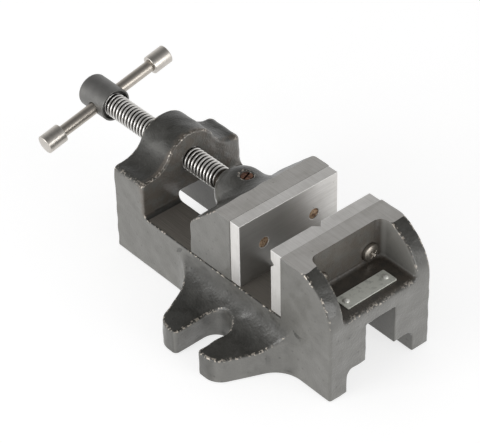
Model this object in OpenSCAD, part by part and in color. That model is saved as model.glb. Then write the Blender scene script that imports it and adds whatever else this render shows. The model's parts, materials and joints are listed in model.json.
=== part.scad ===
// Low drill-press vise: a slotted cast base with a fixed jaw, a moving jaw on two rails and a lead screw.
// +X runs along the screw from the handle to the fixed jaw, +Z is up, and left is +Y.
// The origin lies on the bench, midway between the two hold-down slots.

/* [Jaws] */
// Width of the jaw plates
jaw_w = 80; // [64:1:110]
// Height of the jaw plates above the rails
plate_h = 46.5; // [38:0.5:60]
// Distance between the jaw plates as drawn
opening = 28; // [12:0.5:40]
// Thickness of the fixed jaw plate
fixed_plate_t = 9.5; // [7:0.1:12]
// Thickness of the moving jaw plate
moving_plate_t = 8.3; // [6:0.1:12]
// Width of the level V groove in the fixed plate
level_v_w = 6; // [3:0.5:8]
// Depth of the level groove's middle below the jaw top
level_v_drop = 10; // [6:0.5:14]
// Width of the upright V groove in the fixed plate
upright_v_w = 7.5; // [3:0.5:10]
// Sideways place of the upright groove
upright_v_y = -3.5; // [-10:0.5:10]

/* [Base] */
// Height of the rails' ground top
rail_top = 38.5; // [32:0.5:48]
// Length of the bed from the nut boss to the fixed jaw's clamping face
bed_len = 119; // [100:1:150]
// Length of the nut boss along the screw
boss_len = 29; // [20:1:40]
// Depth of the fixed jaw casting behind its plate
fixed_depth = 43.5; // [38:0.5:60]
// How far the casting stands out past the jaw plates on each side
side_step = 1; // [0:0.5:4]
// Width of the slot between the rails
slot_w = 23.5; // [18:0.5:30]
// Height of the channel's arch above the rails
arch_rise = 6; // [3:0.5:9]
// Width of each foot along the underside
foot_w = 14; // [10:0.5:18]
// Height of the hollow between the feet
relief_h = 16.5; // [13:0.5:20]
// Corner radius of that hollow
relief_r = 5; // [2:0.5:8]

/* [Nut boss] */
// Radius of the hump over the screw
hump_r = 20.5; // [17:0.5:26]
// Height of the boss's shoulders below the screw axis
shoulder_drop = 0.7; // [0:0.1:6]
// Flat width left on each shoulder
shoulder_flat = 2; // [0.5:0.5:6]
// Corner radius of the shoulders
shoulder_r = 4; // [2:0.5:8]

/* [Fixed jaw] */
// Radius of the crown that rounds off the fixed jaw's front
crown_r = 37.8; // [30:0.2:42]
// Height of the jaw top above the crown's centre
crown_drop = 34.8; // [26:0.2:37]
// Thickness of the wall behind the fixed plate
back_wall_t = 11.5; // [8:0.5:16]
// Thickness of the pocket's cheeks
cheek_t = 11.6; // [8:0.2:16]
// Thickness of the web between the channel and the pocket
web_t = 11.7; // [8:0.1:16]
// Corner radius at the back of the pocket
pocket_r = 6; // [2:0.5:10]

/* [Lugs] */
// Distance from the hold-down slots to the fixed clamping face
slot_to_face = 30.5; // [20:0.5:45]
// Reach of each lug from the centre line
lug_reach = 82; // [66:1:110]
// Thickness of the lugs
lug_t = 18; // [12:0.5:24]
// Width of each hold-down slot
hold_w = 20.6; // [14:0.2:22]
// Depth of each hold-down slot from the lug's outer edge
hold_depth = 33.5; // [22:0.5:36]
// Half width of a lug, measured lug_mid in from its outer edge
lug_half = 34; // [28:0.5:42]
// Distance from the lug's outer edge at which lug_half is measured
lug_mid = 18; // [12:0.5:24]
// Slope of the lug's flanks from square to the body
lug_slope = 24.4; // [10:0.2:35]
// Radius that blends a lug into the body
lug_root_r = 21; // [12:1:28]
// Radius at a lug's outer corners
lug_corner_r = 13; // [8:0.5:14]
// Radius at the mouth of a hold-down slot
mouth_r = 3; // [1:0.5:5]
// Radius of the hollow sweep from a lug's top up to the bed
lug_sweep_r = 20; // [4:0.5:26]

/* [Moving jaw] */
// Length of the moving casting along the screw
slider_len = 38.4; // [34:0.2:50]
// Length of its ground top
slider_top_len = 14; // [8:0.5:20]
// Height of its upright back above the rails
slider_back_h = 24; // [16:0.5:30]
// Radius where the back turns into the slope
slider_r = 9; // [4:0.5:14]
// Radius of the round hood over the screw's end
hood_r = 17.3; // [14:0.1:20]
// Distance from the clamping face to the centre of the hood's round nose
hood_back = 43.5; // [38:0.5:52]
// Length of the tongue between the rails
tongue_len = 34; // [24:1:40]
// Distance from the clamping face to the tongue
tongue_back = 10.5; // [9:0.5:16]

/* [Keeper] */
// Width of the keeper plate under the rails
keeper_w = 43; // [36:1:52]
// Length of the keeper plate
keeper_len = 36; // [28:1:40]
// Thickness of the keeper plate
keeper_t = 6; // [4:0.5:8]
// Spacing of the keeper screws
keeper_pitch = 16; // [12:1:20]
// Diameter of the keeper screws
keeper_screw_d = 6; // [5:0.5:7]

/* [Lead screw] */
// Outside diameter of the thread
screw_d = 16; // [13:0.5:20]
// Pitch of the thread
pitch = 3; // [2:0.5:4]
// Depth of the screw axis below the jaw top
screw_drop = 20.3; // [18:0.1:26]
// Length of the screw between the head's face and the hood's mouth
screw_free = 110; // [90:1:140]
// Length of the journal inside the moving jaw
journal_len = 29; // [24:1:34]

/* [Handle] */
// Diameter of the head
head_d = 22.8; // [20:0.2:28]
// Length of the head
head_len = 25.8; // [20:0.2:34]
// Depth of the recess round the screw in the head's face
head_recess = 4; // [2:0.5:6]
// Wall left round that recess
head_rim = 1.4; // [0.8:0.1:2]
// Distance from the head's face to the tommy bar's axis
bar_back = 10; // [9:0.2:13]
// Diameter of the tommy bar
bar_d = 8; // [6:0.2:10]
// Length over the two knobs
bar_len = 106; // [80:1:150]
// Tilt of the bar from level, left end up
bar_tilt = 13; // [0:1:90]
// Diameter of the knobs
knob_d = 13; // [11:0.2:18]
// Length of each knob
knob_len = 14.5; // [10:0.5:20]
// Solid end wall of each knob
knob_wall = 3; // [2:0.5:5]
// Diameter of the pin that locks the head to the screw
head_pin_d = 3; // [2:0.5:4]

/* [Fasteners] */
// Diameter of the fixed plate's screws
plate_screw_d = 6; // [4:0.5:7]
// Diameter of their pan heads
pan_d = 12; // [8:0.1:13]
// Height of their pan heads
pan_h = 3.9; // [2.5:0.1:5]
// Diameter of the moving plate's flush screws
flush_screw_d = 5; // [4:0.5:6]
// Diameter of their countersunk heads
flush_head_d = 7.6; // [6.5:0.1:10]
// Depth of the flush screws in the moving casting
flush_depth = 12; // [8:0.5:16]
// Sideways place of the jaw plate screws
plate_screw_y = 20.4; // [16:0.1:26]
// Height of the plate screws above the pocket's floor
plate_screw_rise = 6.6; // [5:0.1:9]
// Gap between the clamping face and the screw ends
screw_end_gap = 0.6; // [0.2:0.1:2]
// Diameter of the retaining screw in the hood
retainer_d = 8; // [6:0.5:10]
// Diameter of the retaining screw's tip
retainer_tip_d = 3.8; // [3:0.1:5]

/* [Name plate] */
// Length of the blank name plate
plate_len = 40; // [24:1:46]
// Width of the blank name plate
plate_wid = 12; // [8:0.5:16]
// Thickness of the blank name plate
plate_thk = 0.8; // [0.5:0.1:1.5]
// Spacing of its rivets
rivet_pitch = 32; // [18:0.5:38]
// Diameter of the rivets' shanks
rivet_d = 2.4; // [2:0.1:3]

/* [Fits] */
// Play of a running fit, on the radius
run_fit = 0.06; // [0.02:0.01:0.1]
// Play of a pushed or screwed fit, on the radius
push_fit = 0.03; // [0.01:0.01:0.1]
// Play of the tommy bar in its hole, on the radius
bar_fit = 0.1; // [0.05:0.01:0.1]
// Play between the sliding jaw and the rails
slide_fit = 0.15; // [0.05:0.01:0.3]

/* [Hidden] */

$fn = 64;
over = 1;                                   // how far a cut runs past the face it opens
small = 0.01;                               // overlap of solids that are joined

// heights
jaw_top = rail_top + plate_h;
screw_z = jaw_top - screw_drop;
arch_top = rail_top + arch_rise;
pocket_floor = arch_top + web_t;
plate_screw_z = pocket_floor + plate_screw_rise;
shoulder_z = screw_z - shoulder_drop;
crown_z = jaw_top - crown_drop;

// places along X
face_x = slot_to_face;
fixed_back_x = face_x + fixed_plate_t;
pocket_x = fixed_back_x + back_wall_t;
front_x = fixed_back_x + fixed_depth;
boss_x = face_x - bed_len;
rear_x = boss_x - boss_len;
slider_face_x = face_x - opening;
slider_front_x = slider_face_x - moving_plate_t;
slider_rear_x = slider_front_x - slider_len;
hood_x = slider_face_x - hood_back;
tongue_x = slider_face_x - tongue_back;

// widths
half_w = jaw_w / 2 + side_step;
slider_half = jaw_w / 2 + side_step / 2;
relief_half = half_w - foot_w;
pocket_half = half_w - cheek_t;

// lead screw
screw_r = screw_d / 2;
thread_depth = pitch / 2 + 0.25;
core_r = screw_r - thread_depth;
crest_w = 0.366 * pitch;
flank_w = thread_depth * tan(15);
hood_mouth_r = screw_r + 0.7;
hood_mouth_x = hood_x - sqrt(pow(hood_r, 2) - pow(hood_mouth_r, 2));
journal_end_x = hood_mouth_x + journal_len;
head_face_x = hood_mouth_x - screw_free;
head_back_x = head_face_x - head_len;
thread_start_x = head_face_x - head_recess;
thread_end_x = hood_mouth_x - 3;
spigot_end_x = head_back_x + 3;
bar_x = head_face_x - bar_back;
head_pin_x = (spigot_end_x + bar_x - bar_d / 2) / 2;
groove_r = core_r - 1.5;

// small hardware
hood_top_z = screw_z + hood_r;
retainer_x = hood_x + 5;
retainer_top_z = hood_top_z - 1;
retainer_low_z = screw_z + core_r + 0.8;
flush_head_h = (flush_head_d - flush_screw_d) / 2;
flush_x = slider_face_x - screw_end_gap;
keeper_top_z = relief_h - slide_fit;
keeper_half = min(keeper_w / 2, relief_half - relief_r - 0.5);
keeper_x = tongue_x - tongue_len / 2;
keeper_hole_depth = 16;
washer_t = 1.6;
hex_w = 10;
hex_h = 4;
name_x = (pocket_x + front_x) / 2 + 2.5;
seat_x = pocket_x - 0.3;
sweep_r = min(lug_sweep_r, rail_top - lug_t - 0.5);
rivet_depth = 5;

// Points of an arc about c from angle a0 to angle a1
function arc(c, r, a0, a1, n = 10) =
    [for (i = [0 : n]) let (a = a0 + (a1 - a0) * i / n) c + r * [cos(a), sin(a)]];

// The same outline seen in a mirror across its second axis
function flipped(points) = [for (i = [len(points) - 1 : -1 : 0]) [-points[i][0], points[i][1]]];

// A cylinder along +X that starts at x
module rod_x(r, x, len, y = 0, z = 0) {
    translate([x, y, z]) rotate([0, 90, 0]) cylinder(r = r, h = len);
}

// A box from its lowest to its highest corner
module block(low, high) {
    translate(low) cube(high - low);
}

// Children placed along the tommy bar, whose middle is the origin and whose left end is +Z
module on_bar() {
    translate([bar_x, 0, screw_z]) rotate([bar_tilt - 90, 0, 0]) children();
}

// ---- base casting ----

// Half of the boss's outline, from the bench up to the top of the hump
function boss_half() =
    let (drop = shoulder_z - screw_z,
         hollow_y = half_w - shoulder_r - shoulder_flat,
         hollow_r = (pow(hollow_y, 2) - pow(hump_r, 2) + pow(drop, 2)) / (2 * (hump_r - drop)),
         lean = asin((drop + hollow_r) / (hump_r + hollow_r)))
    concat([[half_w, 0]],
        arc([half_w - shoulder_r, shoulder_z - shoulder_r], shoulder_r, 0, 90, 6),
        arc([hollow_y, shoulder_z + hollow_r], hollow_r, 270, 180 + lean, 12),
        arc([0, screw_z], hump_r, lean, 90, 12));

module nut_boss() {
    translate([rear_x, 0, 0]) rotate([90, 0, 90]) linear_extrude(boss_len)
        polygon(concat(boss_half(), flipped(boss_half())));
}

module fixed_jaw_block() {
    rotate([90, 0, 0]) linear_extrude(2 * half_w, center = true)
        polygon(concat([[fixed_back_x, 0], [front_x, 0]],
            arc([front_x - crown_r, crown_z], crown_r, 0, asin(crown_drop / crown_r), 16),
            [[fixed_back_x, jaw_top]]));
}

// Half of a lug's outline on the right side, from the body out to the slot's mouth
function lug_half_outline() =
    let (c = cos(lug_slope), s = sin(lug_slope),
         out = [c, -s],
         mid = [lug_half, -lug_reach + lug_mid],
         root_y = -half_w - lug_root_r,
         root_x = mid[0] + (lug_root_r + s * (root_y - mid[1])) / c,
         tip_y = -lug_reach + lug_corner_r,
         tip_x = mid[0] + (-lug_corner_r + s * (tip_y - mid[1])) / c)
    concat([[root_x, -half_w + over]],
        arc([root_x, root_y], lug_root_r, 90, 180 - lug_slope, 10),
        arc([tip_x, tip_y], lug_corner_r, -lug_slope, -90, 10),
        arc([hold_w / 2 + mouth_r, -lug_reach + mouth_r], mouth_r, 270, 180, 5));

// A lug on the right side, whose top sweeps up to the bed in a hollow curve
module lug() {
    plan = concat(lug_half_outline(), flipped(lug_half_outline()));
    top = lug_t + sweep_r;
    rise = concat([[-half_w + over, 0], [-half_w + over, top]],
        arc([-half_w - sweep_r, top], sweep_r, 0, -90, 10),
        [[-lug_reach - over, lug_t], [-lug_reach - over, 0]]);
    intersection() {
        linear_extrude(top + over) polygon(plan);
        rotate([90, 0, 90]) linear_extrude(2 * lug_reach, center = true) polygon(rise);
    }
}

module hold_down_slot() {
    slot_y = -lug_reach + hold_depth - hold_w / 2;
    top = lug_t + sweep_r + over;
    translate([0, slot_y, -over]) cylinder(d = hold_w, h = top + over);
    block([-hold_w / 2, -lug_reach - over, -over], [hold_w / 2, slot_y, top]);
}

module underside_hollow() {
    block([rear_x - over, -slot_w / 2, -over], [front_x + over, slot_w / 2, arch_top]);
    corner = [relief_half - relief_r, relief_h - relief_r];
    side = concat([[relief_half, -over]], arc(corner, relief_r, 0, 90, 6));
    translate([rear_x - over, 0, 0]) rotate([90, 0, 90]) linear_extrude(front_x - rear_x + 2 * over)
        polygon(concat(side, flipped(side)));
}

module pocket() {
    corner = [pocket_half - pocket_r, pocket_x + pocket_r];
    side = concat([[pocket_half, front_x + over]], arc(corner, pocket_r, 0, -90, 6));
    translate([0, 0, pocket_floor]) linear_extrude(jaw_top - pocket_floor + over)
        mirror([1, -1, 0]) polygon(concat(side, flipped(side)));
}

module base() {
    color("dimgray") difference() {
        union() {
            block([rear_x, -half_w, 0], [front_x, half_w, rail_top]);
            nut_boss();
            fixed_jaw_block();
            lug();
            mirror([0, 1, 0]) lug();
        }
        underside_hollow();
        pocket();
        hold_down_slot();
        mirror([0, 1, 0]) hold_down_slot();
        rod_x(screw_r + run_fit, rear_x - over, boss_len + 2 * over, 0, screw_z);
        for (side = [-1, 1]) {
            rod_x(plate_screw_d / 2 + push_fit, fixed_back_x - over, back_wall_t + 2 * over,
                side * plate_screw_y, plate_screw_z);
            rod_x(pan_d / 2 + 0.3, seat_x, pan_h + 2, side * plate_screw_y, plate_screw_z);
            translate([name_x, side * rivet_pitch / 2, pocket_floor - rivet_depth])
                cylinder(d = rivet_d + 2 * push_fit, h = rivet_depth + over);
        }
    }
}

// ---- jaw plates and their screws ----

module plate_holes(d, x, len) {
    for (side = [-1, 1])
        rod_x(d / 2 + push_fit, x - over, len + 2 * over, side * plate_screw_y, plate_screw_z);
}

// A square-cornered V cut into a face at x = 0, running along Z for len
module v_cut(w, len) {
    translate([0, 0, -len / 2]) linear_extrude(len)
        polygon([[-over, -w / 2 - over], [w / 2, 0], [-over, w / 2 + over]]);
}

module fixed_jaw_plate() {
    color("gainsboro") difference() {
        block([face_x, -jaw_w / 2, rail_top], [fixed_back_x, jaw_w / 2, jaw_top]);
        plate_holes(plate_screw_d, face_x, fixed_plate_t);
        translate([face_x, 0, jaw_top - level_v_drop]) rotate([90, 0, 0]) v_cut(level_v_w, jaw_w + 2 * over);
        translate([face_x, upright_v_y, (rail_top + jaw_top) / 2]) v_cut(upright_v_w, plate_h + 2 * over);
    }
}

module moving_jaw_plate() {
    color("gainsboro") difference() {
        block([slider_front_x, -jaw_w / 2, rail_top + slide_fit], [slider_face_x, jaw_w / 2, jaw_top]);
        plate_holes(flush_screw_d, slider_front_x, moving_plate_t);
        for (side = [-1, 1])
            flush_head(push_fit, screw_end_gap + over, side * plate_screw_y);
    }
}

// A countersunk head that is grown by fit on the radius and runs on in front of its face by ahead
module flush_head(fit, ahead, y) {
    translate([flush_x - flush_head_h, y, plate_screw_z]) rotate([0, 90, 0]) {
        cylinder(r1 = flush_screw_d / 2 + fit, r2 = flush_head_d / 2 + fit, h = flush_head_h);
        translate([0, 0, flush_head_h - small]) cylinder(r = flush_head_d / 2 + fit, h = ahead + small);
    }
}

// A pan-head screw whose head seats at x = seat and whose end is at x = tip, behind the clamping face
module pan_screw(seat, tip, y) {
    recess = 1.6;
    translate([seat, y, plate_screw_z]) rotate([0, -90, 0]) {
        cylinder(d = plate_screw_d, h = seat - tip);
        difference() {
            translate([0, 0, -pan_h]) union() {
                cylinder(d1 = pan_d - 2.4, d2 = pan_d, h = 1.2);
                translate([0, 0, 1.2]) cylinder(d = pan_d, h = pan_h - 1.2);
            }
            for (turn = [0, 90])
                rotate([0, 0, turn]) translate([0, 0, -pan_h]) cube([6.5, 1.4, 2 * recess], center = true);
        }
    }
}

module fixed_plate_screw(side) {
    color("dimgray") pan_screw(seat_x, face_x + upright_v_w / 2 + screw_end_gap, side * plate_screw_y);
}

module moving_plate_screw(side) {
    low_x = slider_front_x - flush_depth;
    color("peru") union() {
        rod_x(flush_screw_d / 2, low_x, flush_x - flush_head_h - low_x + small,
            side * plate_screw_y, plate_screw_z);
        flush_head(0, 0, side * plate_screw_y);
    }
}

module name_plate() {
    color("lightgray") difference() {
        translate([name_x - plate_wid / 2, -plate_len / 2, pocket_floor])
            cube([plate_wid, plate_len, plate_thk]);
        for (side = [-1, 1])
            translate([name_x, side * rivet_pitch / 2, pocket_floor - over])
                cylinder(d = rivet_d + 2 * push_fit, h = plate_thk + 2 * over);
    }
}

module name_rivet(side) {
    dome_r = rivet_d;
    color("silver") translate([name_x, side * rivet_pitch / 2, pocket_floor + plate_thk]) {
        translate([0, 0, -rivet_depth + small]) cylinder(d = rivet_d, h = rivet_depth);
        intersection() {
            translate([0, 0, -dome_r / 3]) sphere(r = dome_r);
            cylinder(r = dome_r, h = dome_r);
        }
    }
}

// ---- moving jaw ----

module slider_body() {
    low = rail_top + slide_fit;
    back_z = low + slider_back_h;
    top_x = slider_front_x - slider_top_len;
    lean = atan2(jaw_top - back_z, top_x - slider_rear_x);
    cut = slider_r * tan((90 - lean) / 2);
    rotate([90, 0, 0]) linear_extrude(2 * slider_half, center = true)
        polygon(concat([[slider_front_x, low], [slider_front_x, jaw_top], [top_x, jaw_top]],
            arc([slider_rear_x + slider_r, back_z - cut], slider_r, 90 + lean, 180, 8),
            [[slider_rear_x, low]]));
}

module hood() {
    difference() {
        union() {
            translate([hood_x, 0, screw_z]) sphere(r = hood_r);
            rod_x(hood_r, hood_x, slider_front_x - slider_top_len - hood_x, 0, screw_z);
        }
        block([hood_x - hood_r - over, -hood_r, screw_z - hood_r], [hood_mouth_x, hood_r, screw_z + hood_r]);
    }
}

module moving_jaw() {
    tongue_half = slot_w / 2 - slide_fit;
    color("slategray") difference() {
        union() {
            slider_body();
            hood();
            block([tongue_x - tongue_len, -tongue_half, keeper_top_z],
                [tongue_x, tongue_half, rail_top + slide_fit + small]);
        }
        rod_x(core_r + run_fit, hood_mouth_x - over, journal_len + over + run_fit, 0, screw_z);
        for (side = [-1, 1]) {
            rod_x(flush_screw_d / 2 + push_fit, slider_front_x - flush_depth - 1, flush_depth + 1 + over,
                side * plate_screw_y, plate_screw_z);
            translate([keeper_x + side * keeper_pitch / 2, 0, keeper_top_z - over])
                cylinder(d = keeper_screw_d + 2 * push_fit, h = keeper_hole_depth + over);
        }
        translate([retainer_x, 0, screw_z]) cylinder(d = retainer_d + 2 * push_fit, h = hood_r + over);
    }
}

module screw_retainer() {
    slot = 1.3;
    tip_z = screw_z + groove_r + 0.15;
    color("peru") difference() {
        translate([retainer_x, 0, 0]) union() {
            translate([0, 0, tip_z]) cylinder(d = retainer_tip_d, h = retainer_low_z - tip_z + small);
            translate([0, 0, retainer_low_z]) cylinder(d = retainer_d, h = retainer_top_z - retainer_low_z);
        }
        translate([retainer_x, 0, retainer_top_z]) cube([slot, retainer_d + over, 2 * slot], center = true);
    }
}

module keeper_plate() {
    color("gray") difference() {
        block([keeper_x - keeper_len / 2, -keeper_half, keeper_top_z - keeper_t],
            [keeper_x + keeper_len / 2, keeper_half, keeper_top_z]);
        for (side = [-1, 1])
            translate([keeper_x + side * keeper_pitch / 2, 0, keeper_top_z - keeper_t - over])
                cylinder(d = keeper_screw_d + 0.6, h = keeper_t + 2 * over);
    }
}

module keeper_screw(side) {
    head_z = keeper_top_z - keeper_t - washer_t;
    color("silver") translate([keeper_x + side * keeper_pitch / 2, 0, head_z]) {
        translate([0, 0, -hex_h]) cylinder(d = hex_w / cos(30), h = hex_h, $fn = 6);
        translate([0, 0, -small])
            cylinder(d = keeper_screw_d, h = washer_t + keeper_t + keeper_hole_depth - 2);
    }
}

module keeper_washer(side) {
    gap = 1;
    translate([keeper_x + side * keeper_pitch / 2, 0, keeper_top_z - keeper_t - washer_t])
        color("silver") difference() {
            cylinder(d = hex_w, h = washer_t);
            translate([0, 0, -over]) cylinder(d = keeper_screw_d + 0.4, h = washer_t + 2 * over);
            translate([0, -gap / 2, -over]) cube([hex_w, gap, washer_t + 2 * over]);
        }
}

// ---- lead screw and handle ----

// One ring of the thread's profile, which starts at x
function thread_ring(x) = [[core_r, x], [screw_r, x + flank_w],
    [screw_r, x + flank_w + crest_w], [core_r, x + 2 * flank_w + crest_w]];

module lead_screw() {
    rings = floor((thread_end_x - thread_start_x) / pitch);
    groove_w = retainer_tip_d + 0.4;
    groove = [for (side = [-1, 1]) retainer_x + side * groove_w / 2];
    color("silver") difference() {
        translate([0, 0, screw_z]) rotate([0, 90, 0]) rotate_extrude()
            polygon(concat([[0, spigot_end_x], [core_r, spigot_end_x]],
                [for (i = [0 : rings - 1]) each thread_ring(thread_start_x + i * pitch)],
                [[core_r, groove[0]], [groove_r, groove[0]], [groove_r, groove[1]], [core_r, groove[1]]],
                [[core_r, journal_end_x], [0, journal_end_x]]));
        on_bar() cylinder(r = bar_d / 2 + bar_fit, h = head_d, center = true);
        translate([head_pin_x, 0, screw_z - head_d]) cylinder(d = head_pin_d + 2 * push_fit, h = head_d);
    }
}

module handle_head() {
    edge = 0.8;
    r = head_d / 2;
    color("darkgray") difference() {
        translate([0, 0, screw_z]) rotate([0, 90, 0]) rotate_extrude()
            polygon([[0, head_back_x], [r - edge, head_back_x], [r, head_back_x + edge], [r, head_face_x],
                [r - head_rim, head_face_x], [r - head_rim, thread_start_x],
                [core_r + push_fit, thread_start_x],
                [core_r + push_fit, spigot_end_x], [0, spigot_end_x]]);
        on_bar() cylinder(r = bar_d / 2 + bar_fit, h = 2 * head_d, center = true);
        translate([head_pin_x, 0, screw_z - head_d]) cylinder(d = head_pin_d + 2 * push_fit, h = head_d);
    }
}

module head_pin() {
    color("silver") translate([head_pin_x, 0, screw_z - head_d / 2 + 0.5])
        cylinder(d = head_pin_d, h = head_d / 2 - 1);
}

module tommy_bar() {
    edge = 0.6;
    r = bar_d / 2;
    end = bar_len / 2 - knob_wall;
    color("silver") on_bar() rotate_extrude()
        polygon([[0, -end], [r - edge, -end], [r, -end + edge], [r, end - edge], [r - edge, end], [0, end]]);
}

module knob(side) {
    edge = 0.7;
    r = knob_d / 2;
    bore = bar_d / 2 + push_fit;
    outer = bar_len / 2;
    inner = outer - knob_len;
    color("silver") on_bar() mirror([0, 0, side > 0 ? 0 : 1]) rotate_extrude()
        polygon([[0, outer], [r - edge, outer], [r, outer - edge], [r, inner + edge], [r - edge, inner],
            [bore, inner], [bore, outer - knob_wall], [0, outer - knob_wall]]);
}

base();
fixed_jaw_plate();
fixed_plate_screw(1);  // fixed_plate_screw_left
fixed_plate_screw(-1);  // fixed_plate_screw_right
name_plate();
name_rivet(1);  // name_rivet_left
name_rivet(-1);  // name_rivet_right
moving_jaw();
moving_jaw_plate();
moving_plate_screw(1);  // moving_plate_screw_left
moving_plate_screw(-1);  // moving_plate_screw_right
keeper_plate();
keeper_screw(1);  // keeper_screw_front
keeper_screw(-1);  // keeper_screw_rear
keeper_washer(1);  // keeper_washer_front
keeper_washer(-1);  // keeper_washer_rear
screw_retainer();
lead_screw();
handle_head();
head_pin();
tommy_bar();
knob(1);  // knob_left
knob(-1);  // knob_right
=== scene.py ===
"""Looks of the low drill-press vise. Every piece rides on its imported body."""

import json
import logging
import math
from collections.abc import Callable, Sequence
from dataclasses import dataclass, field
from enum import Enum

import bmesh
import bpy
import numpy as np
from mathutils import Matrix, Vector


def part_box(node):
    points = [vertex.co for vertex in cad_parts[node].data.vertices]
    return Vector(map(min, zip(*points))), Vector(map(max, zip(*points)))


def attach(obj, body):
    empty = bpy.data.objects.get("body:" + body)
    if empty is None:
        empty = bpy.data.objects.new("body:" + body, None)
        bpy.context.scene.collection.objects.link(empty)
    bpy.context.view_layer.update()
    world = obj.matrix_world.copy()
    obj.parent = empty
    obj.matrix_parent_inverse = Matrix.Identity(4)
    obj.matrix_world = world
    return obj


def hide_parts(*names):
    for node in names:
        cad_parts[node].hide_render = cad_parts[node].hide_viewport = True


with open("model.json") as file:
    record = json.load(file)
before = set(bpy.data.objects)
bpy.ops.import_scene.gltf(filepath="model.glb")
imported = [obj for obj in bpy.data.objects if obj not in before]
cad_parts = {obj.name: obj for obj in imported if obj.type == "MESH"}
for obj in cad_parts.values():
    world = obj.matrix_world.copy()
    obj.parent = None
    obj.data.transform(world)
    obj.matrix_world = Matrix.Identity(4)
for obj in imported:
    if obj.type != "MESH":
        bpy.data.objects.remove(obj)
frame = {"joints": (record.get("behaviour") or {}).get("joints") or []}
log = logging.getLogger("vise")

MM = 0.001
Points = tuple[np.ndarray, np.ndarray, np.ndarray]
Pair = tuple[float, float]
Triple = tuple[float, float, float]


def placed(name: str, data: bpy.types.ID) -> bpy.types.Object:
    """A new object in the scene."""
    made = bpy.data.objects.new(name, data)
    bpy.context.scene.collection.objects.link(made)
    return made


# ---------------------------------------------------------------- solids by distance


class Shape:
    """A solid given by its signed distance in millimetres, which is negative inside."""

    def __init__(self, rule: Callable[[Points], np.ndarray]) -> None:
        """Keeps the rule that gives the distance at points."""
        self.rule = rule

    def __call__(self, p: Points) -> np.ndarray:
        """The distance at points."""
        return self.rule(p)

    def __or__(self, other: "Shape") -> "Shape":
        """Both solids."""
        return Shape(lambda p: np.minimum(self(p), other(p)))

    def __and__(self, other: "Shape") -> "Shape":
        """What the two solids share, with a sharp edge."""
        return Shape(lambda p: np.maximum(self(p), other(p)))

    def __neg__(self) -> "Shape":
        """The space around the solid."""
        return Shape(lambda p: -self(p))

    def joined(self, other: "Shape", fillet: float) -> "Shape":
        """Both solids with a hollow fillet of that radius between them."""

        def rule(p: Points) -> np.ndarray:
            """The distance at points."""
            a, b = self(p) / fillet, other(p) / fillet
            round_off = np.hypot(np.maximum(1 - a, 0), np.maximum(1 - b, 0))
            return (np.maximum(1, np.minimum(a, b)) - round_off) * fillet

        return Shape(rule)

    def kept(self, other: "Shape", edge: "float | Shape") -> "Shape":
        """What the two solids share, with a rounded edge.

        Args:
            other: The second solid.
            edge: Radius of the edge, or a rule that gives it at each point.

        Returns:
            The shared solid.
        """

        def rule(p: Points) -> np.ndarray:
            """The distance at points."""
            a, b = self(p), other(p)
            r = edge(p) if isinstance(edge, Shape) else edge
            return np.minimum(-r, np.maximum(a, b)) + np.hypot(np.maximum(r + a, 0), np.maximum(r + b, 0))

        return Shape(rule)

    def cut(self, other: "Shape", edge: "float | Shape" = 0.0) -> "Shape":
        """This solid without the other, with edges of that radius."""
        if isinstance(edge, float) and edge == 0.0:
            return self & -other
        return self.kept(-other, edge)

    def twice(self, axis: int) -> "Shape":
        """The solid and its mirror image across the plane where that axis is 0."""

        def rule(p: Points) -> np.ndarray:
            """The distance at points."""
            q = list(p)
            q[axis] = np.abs(q[axis])
            return self(tuple(q))

        return Shape(rule)


def below(axis: int, at: float) -> Shape:
    """Everything lower than a plane on that axis."""
    return Shape(lambda p: p[axis] - at)


def above(axis: int, at: float) -> Shape:
    """Everything higher than a plane on that axis."""
    return Shape(lambda p: at - p[axis])


def slab(axis: int, low: float, high: float) -> Shape:
    """Everything between two planes on that axis."""
    return Shape(lambda p: np.abs(p[axis] - (low + high) / 2) - (high - low) / 2)


def block(low: Triple, high: Triple, edge: float) -> Shape:
    """A box with every edge rounded."""
    x, y, z = (slab(i, low[i], high[i]) for i in range(3))
    return x.kept(y, edge).kept(z, edge)


def rod(axis: int, radius: float, at: Pair = (0.0, 0.0)) -> Shape:
    """An endless round bar along an axis, through a point given by the other two axes in order."""
    u, v = (i for i in range(3) if i != axis)
    return Shape(lambda p: np.hypot(p[u] - at[0], p[v] - at[1]) - radius)


def ball(centre: Triple, radius: float) -> Shape:
    """A sphere."""
    return Shape(lambda p: np.sqrt(sum((p[i] - centre[i]) ** 2 for i in range(3))) - radius)


def outline(points: Sequence[Pair], u: int, v: int) -> Shape:
    """An endless prism over a closed outline on axes u and v."""
    corners = np.array(points, np.float32)

    def rule(p: Points) -> np.ndarray:
        """The distance at points."""
        x, y = p[u], p[v]
        best = np.float32(1e12)
        sign = np.float32(1.0)
        for (ax, ay), (bx, by) in zip(corners, np.roll(corners, -1, axis=0)):
            ex, ey = bx - ax, by - ay
            wx, wy = x - ax, y - ay
            t = np.clip((wx * ex + wy * ey) / max(ex * ex + ey * ey, 1e-12), 0, 1)
            best = np.minimum(best, (wx - ex * t) ** 2 + (wy - ey * t) ** 2)
            low, high, side = y >= ay, y < by, ex * wy > ey * wx
            flip = (low & high & side) | ~(low | high | side)
            sign = np.where(flip, -sign, sign)
        return sign * np.sqrt(best)

    return Shape(rule)


def arc(centre: Pair, radius: float, start: float, end: float, n: int = 24) -> list[Pair]:
    """Points on an arc between two angles in degrees."""
    turns = np.radians(np.linspace(start, end, n + 1))
    return [(centre[0] + radius * math.cos(t), centre[1] + radius * math.sin(t)) for t in turns]


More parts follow.
